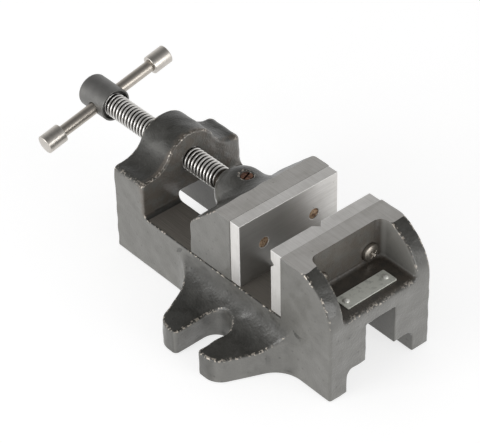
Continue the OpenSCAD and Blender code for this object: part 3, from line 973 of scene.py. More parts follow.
@dataclass
class BaseCasting:
    """The slotted base: bed, nut boss, fixed jaw with its pocket, and the two lugs."""

    at: Layout
    rear: float = -117.5
    boss: float = -88.5
    front: float = 83.5
    half: float = 41.0
    slot_half: float = 11.75
    arch: float = 44.5
    hollow_half: float = 27.0
    hollow_top: float = 16.5
    pocket_half: float = 29.4
    hump: float = 20.5
    shoulder: float = 64.0
    crown: float = 37.8
    crown_centre: Pair = (45.7, 50.2)
    lug_reach: float = 82.0
    lug_top: float = 18.0
    sweep: float = 20.0
    slot_end: float = 58.8
    slot_r: float = 10.3
    cast_edge: float = 1.6

    def bed_and_boss(self) -> Shape:
        """Bed and boss, whose outlines are crossed so that their flanks stay one plane."""
        drop = self.shoulder - self.at.screw_z
        reach = self.half - 6.0
        hollow = (reach**2 - self.hump**2 + drop**2) / (2 * (self.hump - drop))
        lean = math.degrees(math.asin((drop + hollow) / (self.hump + hollow)))

        def half_outline(corner: float) -> list[Pair]:
            """The right half of the outline, from the foot to the top of the hump."""
            side = [(self.half, -9.0)]
            side += arc((self.half - corner, self.shoulder - corner), corner, 0, 90, 12)
            side += arc((reach, self.shoulder + hollow), hollow, 270, 180 + lean, 30)
            return side + arc((0.0, self.at.screw_z), self.hump, lean, 90, 40)

        right = [(-u, v) for u, v in reversed(half_outline(3.5)[:-1])]
        around = outline(half_outline(6.0) + right, 1, 2)
        lengthwise = below(2, self.at.rail).joined(below(0, self.boss), 4.0)
        far = Shape(lambda p: self.cast_edge + 2.6 * np.clip((p[1] - 18.0) / 12.0, 0, 1))
        edge = Shape(lambda p: 0.7 + (far(p) - 0.7) * np.clip((p[2] - 38.0) / 7.0, 0, 1))
        body = around.kept(lengthwise, edge)
        return body.kept(slab(0, self.rear, 150.0), far) & below(0, self.front - 12)

    def fixed_jaw(self) -> Shape:
        """The block of the fixed jaw under its round crown."""
        cx, cz = self.crown_centre
        side = [(25.0, -9.0), (self.front, -9.0), *arc((cx, cz), self.crown, 0, 90, 60), (25.0, cz + self.crown)]
        jaw = outline(side, 0, 2).kept(slab(1, -self.half, self.half), self.cast_edge)
        return jaw.kept(above(0, self.at.fixed_back), 0.3)

    def lugs(self) -> Shape:
        """Both lugs with their open slots, swept up to the bed in one hollow curve."""
        lean, root = math.radians(24.4), 21.0
        c, s = math.cos(lean), math.sin(lean)
        mid = (34.0, -self.lug_reach + 18.0)
        root_y, tip_y = -self.half - root, -self.lug_reach + 13.0
        root_x = mid[0] + (root + s * (root_y - mid[1])) / c
        tip_x = mid[0] + (-13.0 + s * (tip_y - mid[1])) / c
        side = [(root_x, -20.0), (root_x, -self.half + 1.0)]
        side += arc((root_x, root_y), root, 90, 180 - 24.4, 30)
        side += arc((tip_x, tip_y), 13.0, -24.4, -90, 24)
        plan = outline(side + [(-u, v) for u, v in reversed(side)], 0, 1)

        def open_slot(p: Points) -> np.ndarray:
            """A slot with a round end that is open at the lug's tip."""
            past = np.maximum(p[1] + self.slot_end, 0)
            return np.hypot(p[0], past) - self.slot_r

        plan = plan.cut(Shape(open_slot), 3.0)
        rise = below(2, self.lug_top).joined(above(1, -self.half), self.sweep)
        lug = plan.kept(rise, 1.6) & below(2, self.lug_top + self.sweep)
        return Shape(lambda p: lug((p[0], -np.abs(p[1]), p[2])))

    def solid(self) -> Shape:
        """The whole casting before its flats are ground."""
        z = self.at.screw_z
        body = self.bed_and_boss() | self.fixed_jaw() | self.lugs()
        calm = Shape(
            lambda p: np.clip((np.abs(p[2] - self.at.rail) - 1.5) / 3, 0, 1)
            * np.clip((np.abs(p[0] - self.at.fixed_back) - 0.5) / 3, 0, 1)
            * np.clip(p[2] / 3, 0, 1)
        )
        body = lifted(body, unevenness(0.13, calm))
        channel = slab(1, -self.slot_half, self.slot_half).kept(below(2, self.arch), 1.0)
        hollow = slab(1, -self.hollow_half, self.hollow_half).kept(below(2, self.hollow_top), 5.0)
        body = body.cut(channel | hollow, 0.9)
        back = above(0, self.at.pocket_back)
        pocket = back.kept(slab(1, -self.pocket_half, self.pocket_half), 6.0)
        pocket = pocket.kept(above(2, self.at.pocket_floor), 2.6)
        lip = Shape(lambda p: 1.5 + 1.4 * np.clip((60.5 - p[2]) / 4.0, 0, 1))
        body = body.cut(pocket, lip)
        bore = rod(0, 8.06, (0.0, z)) & below(0, self.boss + 10)
        body = body.cut(bore, 1.0)
        spot, seat = self.at.plate_screw, self.at.pocket_back - self.at.seat_depth
        seats = (rod(0, 3.03, spot) & slab(0, 30.0, 60.0)) | (rod(0, 6.3, spot) & slab(0, seat, 57.0))
        return body.cut(seats.twice(1))

    def build(self) -> bpy.types.Object:
        """Meshes the casting, grinds its jaw top and its feet, and paints it."""
        x = ticks(
            self.rear - 2, self.front + 2, 1.5, (self.rear + 1.5, 3.0, 0.7), (self.boss - 1, 3.5, 0.7),
            (-44.0, 14.0, 1.2), (-18.0, 14.0, 1.2), (14.0, 12.0, 1.2), (self.at.fixed_back, 1.0, 0.35),
            (self.at.pocket_back + 2, 3.5, 0.8), (self.at.pocket_back - 0.2, 0.9, 0.3),
            (self.front - 4, 7.0, 0.75),
        )
        y = ticks(
            -self.lug_reach - 2, self.lug_reach + 2, 1.5, *(
                (side * place, half, fine)
                for side in (-1, 1)
                for place, half, fine in (
                    (self.half, 2.6, 0.6), (self.pocket_half, 1.8, 0.7), (self.slot_half, 1.6, 0.7),
                    (self.hollow_half, 1.4, 0.8), (self.lug_reach - 1.5, 3.0, 0.8), (60.0, 14.0, 1.2),
                    (self.at.screw_y, 6.9, 0.6),
                )
            ),
        )
        z = ticks(
            -0.9, 89.5, 1.5, (self.lug_top - 0.5, 2.6, 0.6), (self.at.rail, 1.8, 0.5), (self.arch, 1.6, 0.7),
            (self.at.pocket_floor, 3.0, 0.7), (self.at.plate_screw[1], 6.9, 0.6), (self.hollow_top, 2.0, 0.7),
            (self.shoulder, 2.5, 0.8), (82.5, 3.0, 0.8),
        )
        flats = (Ground(2, 0.0, -1), Ground(2, self.at.jaw_top, 1, self.at.fixed_back - 3))
        made = solid_mesh("base_casting", self.solid(), (x, y, z), 0.3, flats)
        return dress(made, "vise_base", "casting_paint", ["base"], CastEnamel(), GROUND_CASTING)


@dataclass
class MovingJaw:
    """The sliding casting: its body, the hood over the screw's end and the tongue between the rails."""

    at: Layout
    length: float = 38.4
    top: float = 14.0
    back_h: float = 24.0
    back_r: float = 9.0
    half: float = 40.5
    hood_x: float = -41.0
    hood_r: float = 17.3
    mouth_x: float = -55.95
    journal_end: float = -26.95
    tongue: Pair = (-42.0, -8.0)
    tongue_half: float = 11.6
    keeper_top: float = 16.35
    keeper_x: float = -25.0
    retainer_x: float = -36.0

    def body(self) -> Shape:
        """The casting's own block, from its side outline."""
        low, rear = self.at.rail + 0.15, self.at.slide_front - self.length
        back_z, top_x = low + self.back_h, self.at.slide_front - self.top
        lean = math.atan2(self.at.jaw_top - back_z, top_x - rear)
        cut = self.back_r * math.tan((math.pi / 2 - lean) / 2)
        over = 3.0
        high = self.at.jaw_top + over
        side = [(5.0, low - 6), (5.0, high), (top_x + over / math.tan(lean), high)]
        side += arc((rear + self.back_r, back_z - cut), self.back_r, 90 + math.degrees(lean), 180, 20)
        side += [(rear, low - 6)]
        whole = outline(side, 0, 2).kept(slab(1, -self.half, self.half), 1.8)
        return whole.kept(below(0, self.at.slide_front), 0.3).kept(above(2, low), 0.4)

    def hood(self) -> Shape:
        """The round nose over the end of the screw."""
        z = self.at.screw_z

        def rule(p: Points) -> np.ndarray:
            """The distance at points."""
            back = np.minimum(p[0] - self.hood_x, 0)
            return np.sqrt(back**2 + p[1] ** 2 + (p[2] - z) ** 2) - self.hood_r

        return Shape(rule).kept(above(0, self.mouth_x), 1.6) & below(0, self.at.slide_front - self.top)

    def solid(self) -> Shape:
        """The whole casting before its top is ground."""
        z = self.at.screw_z
        calm = Shape(lambda p: np.clip((p[2] - 42) / 4, 0, 1) * np.clip((-6.5 - p[0]) / 3, 0, 1))
        whole = lifted(self.body().joined(self.hood(), 5.0), unevenness(0.12, calm))
        low, high = self.tongue
        tongue = block((low, -self.tongue_half, self.keeper_top), (high, self.tongue_half, self.at.rail + 3), 0.6)
        whole = whole | tongue
        whole = whole.cut(rod(0, 6.31, (0.0, z)) & below(0, self.journal_end + 0.06), 0.7)
        for side in (-1, 1):
            spot = (side * self.at.screw_y, self.at.plate_screw[1])
            whole = whole.cut(rod(0, 2.53, spot) & slab(0, self.at.slide_front - 13, 5.0))
            hole = rod(2, 3.03, (self.keeper_x + side * 8, 0.0)) & below(2, self.keeper_top + 16)
            whole = whole.cut(hole, 0.3)
        top = z + self.hood_r

        def sunk(p: Points) -> np.ndarray:
            """The retaining screw's hole, which flares at its mouth."""
            flare = np.clip(p[2] - (top - 1.6), 0, 4) * 0.8
            return np.maximum(np.hypot(p[0] - self.retainer_x, p[1]) - 4.03 - flare, z - p[2])

        return whole.cut(Shape(sunk), 0.3)

    def build(self) -> bpy.types.Object:
        """Meshes the casting, grinds its top and paints it."""
        x = ticks(
            self.mouth_x - 2, self.at.slide_front + 1.5, 1.0, (self.at.slide_front, 0.9, 0.35),
            (self.at.slide_front - self.length, 2.5, 0.6), (self.retainer_x, 6.0, 0.55),
            (self.mouth_x + 1, 2.0, 0.5),
        )
        y = ticks(
            -self.half - 1.5, self.half + 1.5, 1.1, (-self.half + 1, 2.2, 0.6), (self.half - 1, 2.2, 0.6),
            (0.0, 6.0, 0.55), (-self.tongue_half, 1.0, 0.5), (self.tongue_half, 1.0, 0.5),
        )
        z = ticks(
            self.keeper_top - 1.5, self.at.jaw_top + 2.4, 1.1, (self.keeper_top, 1.2, 0.5),
            (self.at.rail + 0.3, 1.2, 0.4), (self.at.screw_z + self.hood_r - 1, 2.2, 0.5),
        )
        flats = (Ground(2, self.at.jaw_top, 1),)
        made = solid_mesh("moving_jaw_casting", self.solid(), (x, y, z), 0.25, flats)
        return dress(made, "slider", "casting_paint", ["moving_jaw"], CastEnamel(), GROUND_CASTING)


# ---------------------------------------------------------------- plates


@dataclass
class JawPlates:
    """The two ground jaw plates and the keeper plate under the rails."""

    at: Layout
    edge: float = 0.35
    level_v: Pair = (6.0, 10.0)
    upright_v: Pair = (7.5, -3.5)

    def grid(self, low: Triple, high: Triple, *upright: Triple) -> list[np.ndarray]:
        """Grid planes that are close together at a plate's edges and screw holes."""
        x = ticks(low[0] - 0.5, high[0] + 0.5, 1.2, (low[0], 0.6, 0.16), (high[0], 0.6, 0.16))
        y = ticks(
            low[1] - 0.5, high[1] + 0.5, 3.0, (low[1], 0.6, 0.16), (high[1], 0.6, 0.16),
            (-self.at.screw_y, 4.5, 0.3), (self.at.screw_y, 4.5, 0.3), *upright,
        )
        z = ticks(
            low[2] - 0.5, high[2] + 0.5, 3.0, (low[2], 0.6, 0.16), (high[2], 0.6, 0.16),
            (self.at.plate_screw[1], 4.5, 0.3), (self.at.jaw_top - self.level_v[1], 3.4, 0.35),
        )
        return [x, y, z]

    def fixed(self) -> bpy.types.Object:
        """The fixed plate, with its level and upright grooves."""
        low = (self.at.face, -self.at.half_plate, self.at.rail)
        high = (self.at.fixed_back, self.at.half_plate, self.at.jaw_top)
        holes = rod(0, 3.03, self.at.plate_screw).twice(1)
        level, drop = self.level_v
        wide, aside = self.upright_v

        def groove(axis: int, middle: float, width: float) -> Shape:
            """A right-angled groove along the axis that is left."""
            lean = 1 / math.sqrt(2)
            return Shape(lambda p: ((p[0] - low[0]) + np.abs(p[axis] - middle) - width / 2) * lean)

        plate = block(low, high, self.edge).cut(groove(2, self.at.jaw_top - drop, level), 0.2)
        plate = plate.cut(groove(1, aside, wide), 0.2).cut(holes, 0.2)
        planes = self.grid(low, high, (aside, wide / 2 + 0.6, 0.35))
        planes[0] = ticks(low[0] - 0.5, high[0] + 0.5, 1.2, (low[0] + 2.0, 2.6, 0.3), (high[0], 0.6, 0.16))
        made = solid_mesh("fixed_plate", plate, planes, 0.06)
        return dress(made, "vise_base", "ground_steel", ["fixed_jaw_plate"], GroundSteel())

    def moving(self) -> bpy.types.Object:
        """The moving plate, whose screw ends show in its holes."""
        low = (self.at.slide_front, -self.at.half_plate, self.at.rail + 0.15)
        high = (self.at.slide_face, self.at.half_plate, self.at.jaw_top)
        bore = rod(0, 2.53, self.at.plate_screw)
        sink = Shape(lambda p: np.maximum(bore(p) - 1.3, (bore(p) + high[0] - 1.9 - p[0]) * 0.7))
        plate = block(low, high, self.edge).cut((bore | sink).twice(1), 0.2)
        made = solid_mesh("moving_plate", plate, self.grid(low, high), 0.06)
        return dress(made, "slider", "ground_steel", ["moving_jaw_plate"], GroundSteel())

    def keeper(self) -> bpy.types.Object:
        """The keeper plate with its two clearance holes."""
        low, high = (-43.0, -21.5, 10.35), (-7.0, 21.5, 16.35)
        holes = rod(2, 3.3, (-33.0, 0.0)) | rod(2, 3.3, (-17.0, 0.0))
        plate = block(low, high, 0.6).cut(holes, 0.3)
        x = ticks(
            low[0] - 0.6, high[0] + 0.6, 2.0, (low[0], 0.9, 0.25), (high[0], 0.9, 0.25), (-33.0, 4.0, 0.45),
            (-17.0, 4.0, 0.45),
        )
        y = ticks(low[1] - 0.6, high[1] + 0.6, 2.0, (low[1], 0.9, 0.25), (high[1], 0.9, 0.25), (0.0, 4.0, 0.45))
        z = ticks(low[2] - 0.6, high[2] + 0.6, 1.5, (low[2], 0.9, 0.25), (high[2], 0.9, 0.25))
        made = solid_mesh("keeper", plate, (x, y, z), 0.1)
        return dress(made, "slider", "dark_steel", ["keeper_plate"], OILED_STEEL)


# ---------------------------------------------------------------- repeated hardware


class Repeat:
    """A geometry node tree that sets copies of a small part along a line, turned and in one finish."""

    def __init__(self) -> None:
        """Builds the tree once."""
        known = bpy.data.node_groups.get("row_of_parts")
        self.tree = known or self.make()

    def make(self) -> bpy.types.NodeTree:
        """The tree itself."""
        tree = bpy.data.node_groups.new("row_of_parts", "GeometryNodeTree")
        face = tree.interface
        face.new_socket("Geometry", in_out="OUTPUT", socket_type="NodeSocketGeometry")
        for name, kind in (
            ("Part", "NodeSocketObject"), ("Count", "NodeSocketInt"), ("First", "NodeSocketVector"),
            ("Step", "NodeSocketVector"), ("Turn", "NodeSocketVector"), ("Turn each", "NodeSocketVector"),
            ("Finish", "NodeSocketMaterial"),
        ):
            face.new_socket(name, in_out="INPUT", socket_type=kind)
        g = Graph(tree)
        start = tree.nodes.new("NodeGroupInput")
        inputs = {s.name: Link(g, s) for s in start.outputs if s.name}
        line = g.node(
            "GeometryNodeMeshLine", {"mode": "OFFSET"},
            {"Count": inputs["Count"], "Start Location": inputs["First"], "Offset": inputs["Step"]},
        )
        part = g.node(
            "GeometryNodeObjectInfo", {"transform_space": "ORIGINAL"},
            {"Object": inputs["Part"], "As Instance": True}, "Geometry",
        )
        index = g.node("GeometryNodeInputIndex")
        each = g.vector("SCALE", inputs["Turn each"])
        g.feed(g.socket(each.socket.node, "Scale"), index)
        turn = g.vector("ADD", inputs["Turn"], each)
        rotation = g.node("FunctionNodeEulerToRotation", None, {"Euler": turn})
        spread = g.node(
            "GeometryNodeInstanceOnPoints", None, {"Points": line, "Instance": part, "Rotation": rotation}
        )
        real = g.node("GeometryNodeRealizeInstances", None, {"Geometry": spread})
        done = g.node("GeometryNodeSetMaterial", None, {"Geometry": real, "Material": inputs["Finish"]})
        end = tree.nodes.new("NodeGroupOutput")
        tree.links.new(done.socket, end.inputs[0])
        return tree

    def place(self, name: str, part: bpy.types.Object, finish: Finish, **values: object) -> bpy.types.Object:
        """Sets out the copies as one plain mesh.

        Args:
            name: Name of the new piece.
            part: The part that is copied, which is removed.
            finish: Its finish.
            values: The tree's other inputs by name, with _ for a space.

        Returns:
            The new piece.
        """
        made = placed(name, bpy.data.meshes.new(name + "_seed"))
        values |= {"Part": part, "Finish": finish.material()}
        flat = plain(made, self.tree, values)
        bpy.data.objects.remove(part)
        return flat


def plain(made: bpy.types.Object, tree: bpy.types.NodeTree, values: dict[str, object]) -> bpy.types.Object:
    """Runs a geometry node tree on an object and keeps only the mesh that comes out.

    Args:
        made: The object that carries the tree.
        tree: The tree.
        values: The tree's inputs by name, with _ for a space.

    Returns:
        The same object with a plain mesh and no modifier.
    """
    modifier = made.modifiers.new("maker", "NODES")
    modifier.node_group = tree
    sockets = (s for s in tree.interface.items_tree if s.item_type == "SOCKET" and s.in_out == "INPUT")
    keys = {s.name: s.identifier for s in sockets}
    for name, value in values.items():
        modifier[keys[name.replace("_", " ")]] = value
    bpy.context.view_layer.update()
    ready = made.evaluated_get(bpy.context.evaluated_depsgraph_get())
    mesh = bpy.data.meshes.new_from_object(ready)
    mesh.name = made.name
    made.modifiers.remove(modifier)
    old, made.data = made.data, mesh
    bpy.data.meshes.remove(old)
    return made


@dataclass
class Hardware:
    """The small screws, washers, rivets and the blank name plate."""

    at: Layout
    pan_r: float = 6.0
    pan_h: float = 3.9
    shank: float = 3.0
    flush_r: float = 3.8
    retainer_x: float = -36.0
    name_x: float = 70.0
    name_t: float = 0.8
    row: Repeat = field(default_factory=Repeat)

    def pan_screw(self, name: str, length: float) -> bpy.types.Object:
        """A cross-recess pan-head screw along +X, whose head seats at the origin."""
        dome = ball((13.0 - self.pan_h, 0.0, 0.0), 13.0)
        head = rod(0, self.pan_r).kept(slab(0, -self.pan_h, 0.0), 0.5).kept(dome, 0.6)

        def cross(p: Points) -> np.ndarray:
            """The cross recess, which narrows as it goes down."""
            sink = np.clip((p[0] + self.pan_h) / 2.2, 0, 1)
            wide, long = 1.0 - 0.45 * sink, 3.3 - 1.8 * sink
            arm = np.minimum(
                np.maximum(np.abs(p[1]) - wide, np.abs(p[2]) - long),
                np.maximum(np.abs(p[2]) - wide, np.abs(p[1]) - long),
            )
            return np.maximum(arm, p[0] + self.pan_h - 2.4)

        whole = head.cut(Shape(cross), 0.22) | rod(0, self.shank).kept(slab(0, -1.0, length), 0.55)
        x = ticks(
            -self.pan_h - 0.4, length + 0.5, 0.8, (-self.pan_h + 1.0, 1.7, 0.2), (length - 0.3, 0.6, 0.25),
            (0.0, 0.5, 0.2),
        )
        span = ticks(-self.pan_r - 0.4, self.pan_r + 0.4, 0.24)
        return solid_mesh(name, whole, (x, span, span), 0.08)

    def plate_screws(self) -> None:
        """The two screws of each jaw plate."""
        y, z = (v * MM for v in self.at.plate_screw)
        seat, step = self.at.pocket_back - self.at.seat_depth, (0.0, 2 * y, 0.0)
        part = self.pan_screw("pan_part", seat - self.at.face - 4.35)
        fixed = self.row.place(
            "fixed_plate_screws", part, GRIMY_STEEL, Count=2, Step=step, First=(seat * MM, -y, z),
            Turn=(0.35, 0.0, math.pi), Turn_each=(0.5, 0.0, 0.0),
        )
        nodes = ["fixed_plate_screw_left", "fixed_plate_screw_right"]
        dress(fixed, "vise_base", "casting_paint", nodes, GRIMY_STEEL)
        low, face = self.at.slide_front - 12, self.at.slide_face - 0.6
        profile = [
            (0.0, low, 0.0), (2.5, low, 0.5), (2.5, face - 1.3, 0.0), (self.flush_r, face, 0.25),
            (self.flush_r - 0.4, face, 0.1), (0.0, face + 0.12, 0.0),
        ]
        part = lathe("flush_part", profile, Matrix.Rotation(math.pi / 2, 4, "Y"), 48)
        moving = self.row.place(
            "moving_plate_screws", part, AgedCopper(), Count=2, Step=step, First=(0.0, -y, z),
            Turn_each=(0.7, 0.0, 0.0),
        )
        nodes = ["moving_plate_screw_left", "moving_plate_screw_right"]
        dress(moving, "slider", "bronze_screw", nodes, AgedCopper())

    def keeper_screws(self) -> None:
        """The two hexagon screws under the keeper, and their split washers."""
        head_z = 16.35 - 6.0 - 1.6
        lean = [(math.cos(math.radians(60 * i)), math.sin(math.radians(60 * i))) for i in range(3)]

        def hexagon(p: Points) -> np.ndarray:
            """The hexagon of the head."""
            sides = [np.abs(p[0] * c + p[1] * s) - 5.0 for c, s in lean]
            return np.maximum(np.maximum(sides[0], sides[1]), sides[2])

        crown = ball((0.0, 0.0, head_z + 3.2), 9.0)
        head = Shape(hexagon).kept(slab(2, head_z - 4.0, head_z), 0.25).kept(crown, 0.2)
        screw = head | rod(2, 3.0).kept(slab(2, head_z - 0.5, head_z + 21.6), 0.4)
        span = ticks(-6.4, 6.4, 0.32)
        z = ticks(head_z - 4.5, head_z + 22.2, 1.0, (head_z - 2.0, 2.4, 0.3), (head_z + 21.4, 0.5, 0.3))
        part = solid_mesh("hexagon_part", screw, (span, span, z), 0.08)
        place = {"Count": 2, "First": (-0.033, 0.0, 0.0), "Step": (0.016, 0.0, 0.0), "Turn_each": (0.0, 0.0, 0.4)}
        made = self.row.place("keeper_screws", part, OILED_STEEL, **place)
        dress(made, "slider", "dark_steel", ["keeper_screw_front", "keeper_screw_rear"], OILED_STEEL)
        ring = rod(2, 5.0).kept(slab(2, head_z, head_z + 1.6), 0.15).cut(rod(2, 3.2), 0.1)
        ring = ring.cut(slab(1, -0.5, 0.5) & above(0, 0.0), 0.08)
        span = ticks(-5.4, 5.4, 0.25)
        z = ticks(head_z - 0.3, head_z + 1.9, 0.2)
        part = solid_mesh("washer_part", ring, (span, span, z), 0.06)
        made = self.row.place("keeper_washers", part, OILED_STEEL, **place)
        dress(made, "slider", "dark_steel", ["keeper_washer_front", "keeper_washer_rear"], OILED_STEEL)

    def name_plate(self) -> None:
        """The blank plate on the pocket floor, and its two dome rivets."""
        top = self.at.pocket_floor + self.name_t
        low, high = (self.name_x - 6, -20.0, self.at.pocket_floor), (self.name_x + 6, 20.0, top)
        sides = slab(0, low[0], high[0]).kept(slab(1, low[1], high[1]), 0.8)
        plate = sides.kept(slab(2, low[2], high[2]), 0.18).cut(rod(2, 1.23, (self.name_x, 16.0)).twice(1), 0.1)
        x = ticks(
            low[0] - 0.4, high[0] + 0.4, 0.9, (low[0], 0.9, 0.15), (high[0], 0.9, 0.15), (self.name_x, 1.7, 0.25)
        )
        y = ticks(
            low[1] - 0.4, high[1] + 0.4, 1.2, (low[1], 0.9, 0.15), (high[1], 0.9, 0.15), (-16.0, 1.7, 0.25),
            (16.0, 1.7, 0.25),
        )
        z = ticks(low[2] - 0.3, high[2] + 0.3, 0.12)
        made = solid_mesh("name_plate_blank", plate, (x, y, z), 0.05)
        dress(made, "vise_base", "plate_aluminium", ["name_plate"], SheetAluminium())
        shank = rod(2, 1.2).kept(slab(2, top - 4.8, top + 0.3), 0.2)
        dome = (ball((0.0, 0.0, top - 0.8), 2.4) & above(2, top)) | shank
        span = ticks(-2.8, 2.8, 0.16)
        z = ticks(top - 5.1, top + 2.0, 0.5, (top + 0.7, 1.1, 0.14))
        part = solid_mesh("rivet_part", dome, (span, span, z), 0.05)
        made = self.row.place(
            "name_rivets", part, RIVET_DOME, Count=2, First=(self.name_x * MM, -0.016, 0.0), Step=(0.0, 0.032, 0.0)
        )
        dress(made, "vise_base", "rivet_aluminium", ["name_rivet_left", "name_rivet_right"], RIVET_DOME)

    def retainer(self) -> None:
        """The slotted screw in the hood, whose tip holds the lead screw."""
        top, low, tip = 81.0, self.at.screw_z + 7.05, self.at.screw_z + 4.9
        x = self.retainer_x
        body = rod(2, 4.0, (x, 0.0)).kept(slab(2, low, top), 0.45)
        nose = rod(2, 1.9, (x, 0.0)).kept(slab(2, tip, low + 1), 0.2)
        slot = slab(0, x - 0.65, x + 0.65) & above(2, top - 1.5)
        turned = Shape(lambda p: slot((x + (p[0] - x) * 0.94 + p[1] * 0.34, p[1], p[2])))
        whole = (body | nose).cut(turned, 0.15)
        span = ticks(-4.5, 4.5, 0.22)
        z = ticks(tip - 0.4, top + 0.4, 0.8, (top - 0.8, 1.3, 0.2), (low, 0.6, 0.2), (tip, 0.4, 0.15))
        made = solid_mesh("retaining_screw", whole, (span + np.float32(x), span, z), 0.07)
        dress(made, "slider", "bronze_screw", ["screw_retainer"], DARK_COPPER)


# ---------------------------------------------------------------- lead screw and handle


@dataclass
class LeadScrew:
    """The screw: a right-hand thread between a spigot in the head and a grooved journal in the hood."""

    at: Layout
    start: float = -188.75
    end: float = -26.95
    thread: Pair = (-170.5, -58.6)
    pitch: float = 3.0
    crest: float = 8.0
    root: float = 6.25
    groove: Pair = (-36.0, 4.75)
    rows: int = 16
    columns: int = 64

    def tree(self) -> bpy.types.NodeTree:
        """The geometry node tree of the thread, a sheared grid wrapped round the axis."""
        tree = bpy.data.node_groups.new("screw_thread", "GeometryNodeTree")
        face = tree.interface
        face.new_socket("Geometry", in_out="OUTPUT", socket_type="NodeSocketGeometry")
        kinds = {"Rows": "Int", "Columns": "Int", "Finish": "Material"}
        lengths = ("Start", "End", "Reach", "Pitch", "Crest", "Root", "Thread start", "Thread end", "Groove")
        for name in ("Rows", "Columns", *lengths, "Groove radius", "Height", "Finish"):
            face.new_socket(name, in_out="INPUT", socket_type="NodeSocket" + kinds.get(name, "Float"))
        g = Graph(tree)
        begin = tree.nodes.new("NodeGroupInput")
        v = {s.name: Link(g, s) for s in begin.outputs if s.name}
        sheet = g.node(
            "GeometryNodeMeshGrid", None,
            {"Size X": 1.0, "Size Y": 1.0, "Vertices X": v["Rows"], "Vertices Y": v["Columns"] + 1},
        )
        px, py, _ = g.split(g.node("GeometryNodeInputPosition"))
        along, turn = px + 0.5, py + 0.5
        row_x = v["Start"] - v["Pitch"] + along * v["Reach"]
        x = (row_x + v["Pitch"] * turn).high(v["Start"]).low(v["End"])
        phase = abs((((row_x - v["Start"]) / v["Pitch"]) + 100.0).part() - 0.5) * 2
        crest = 1 - phase.ramp(0.30, 0.66)
        fade = x.ramp(v["Thread start"], v["Thread start"] + v["Pitch"]) * (
            1 - x.ramp(v["Thread end"] - v["Pitch"], v["Thread end"])
        )
        smooth = v["Root"] + (v["Crest"] - v["Root"]) * crest * fade
        narrow = 1 - abs(x - v["Groove"]).ramp(0.0019, 0.0022, False)
        radius = smooth - (smooth - v["Groove radius"]) * narrow
        angle = turn * (2 * math.pi)
        place = g.gather(x, radius * angle.cos(), v["Height"] + radius * angle.sin())
        wrapped = g.node("GeometryNodeSetPosition", None, {"Geometry": sheet, "Position": place})
        flipped = g.node("GeometryNodeFlipFaces", None, {"Mesh": wrapped})
        parts = [flipped]
        for end, out in (("Start", -1), ("End", 1)):
            disc = g.node(
                "GeometryNodeMeshCircle", {"fill_type": "NGON"}, {"Vertices": v["Columns"], "Radius": v["Root"]}
            )
            dx, dy, _ = g.split(g.node("GeometryNodeInputPosition"))
            cap = g.node(
                "GeometryNodeSetPosition", None,
                {"Geometry": disc, "Position": g.gather(v[end], dx, v["Height"] + dy)},
            )
            parts.append(cap if out > 0 else g.node("GeometryNodeFlipFaces", None, {"Mesh": cap}))
        joined = g.node("GeometryNodeJoinGeometry", None, {"Geometry": parts})
        merged = g.node("GeometryNodeMergeByDistance", None, {"Geometry": joined, "Distance": 0.00002})
        real = g.node("GeometryNodeRealizeInstances", None, {"Geometry": merged})
        done = g.node("GeometryNodeSetMaterial", None, {"Geometry": real, "Material": v["Finish"]})
        end = tree.nodes.new("NodeGroupOutput")
        tree.links.new(done.socket, end.inputs[0])
        return tree

    def build(self) -> bpy.types.Object:
        """Makes the screw as one plain mesh."""
        made = placed("threaded_screw", bpy.data.meshes.new("screw_seed"))
        step = self.pitch / self.rows
        count = math.ceil((self.end - self.start + self.pitch) / step) + 1
        finish = ThreadSteel(axis_z=self.at.screw_z)
        lengths = {
            "Start": self.start, "End": self.end, "Reach": (count - 1) * step, "Pitch": self.pitch,
            "Crest": self.crest, "Root": self.root, "Thread start": self.thread[0], "Thread end": self.thread[1],
            "Groove": self.groove[0], "Groove radius": self.groove[1], "Height": self.at.screw_z,
        }
        values = {"Rows": count, "Columns": self.columns, "Finish": finish.material()}
        plain(made, self.tree(), values | {name: length * MM for name, length in lengths.items()})
        made.data.shade_smooth()
        made.data.set_sharp_from_angle(angle=math.radians(50))
        return dress(made, "screw", "thread_steel", ["lead_screw"], finish)


def lathe(name: str, profile: Sequence[Triple], place: Matrix, columns: int = 64) -> bpy.types.Object:
    """Turns a closed or axis-to-axis profile about its own Z axis.

    Args:
        name: Name of the object.
        profile: Radius, place along the axis and corner radius of each corner, in millimetres.
        place: Where the axis goes, in millimetres.
        columns: Facets round the axis.

    Returns:
        The new object, in metres.
    """
    turning = [Vector((r, s)) for r, s, _ in profile]
    line: list[Vector] = []
    for i, (r, _, bend) in enumerate(profile):
        here, before, after = turning[i], turning[i - 1], turning[(i + 1) % len(turning)]
        if bend <= 0 or r == 0:
            line.append(here)
            continue
        a, b = (before - here).normalized(), (after - here).normalized()
        line += [here + a * bend * (1 - t) ** 2 + b * bend * t**2 for t in (0.0, 0.25, 0.5, 0.75, 1.0)]
    bm = bmesh.new()
    rings = []
    for p in line:
        if p.x == 0:
            rings.append([bm.verts.new(place @ Vector((0, 0, p.y)) * MM)])
            continue
        turns = [2 * math.pi * k / columns for k in range(columns)]
        ring = [Vector((p.x * math.cos(t), p.x * math.sin(t), p.y)) for t in turns]
        rings.append([bm.verts.new(place @ v * MM) for v in ring])
    closed = line[0].x > 0
    for a, b in zip(rings, rings[1:] + (rings[:1] if closed else [])):
        for k in range(columns):
            around = [a[k % len(a)], a[(k + 1) % len(a)], b[(k + 1) % len(b)], b[k % len(b)]]
            corners = list(dict.fromkeys(around))
            if len(corners) > 2:
                bm.faces.new(corners)
    bmesh.ops.recalc_face_normals(bm, faces=bm.faces)
    mesh = bpy.data.meshes.new(name)
    bm.to_mesh(mesh)
    bm.free()
    mesh.shade_smooth()
    mesh.set_sharp_from_angle(angle=math.radians(35))
    return placed(name, mesh)


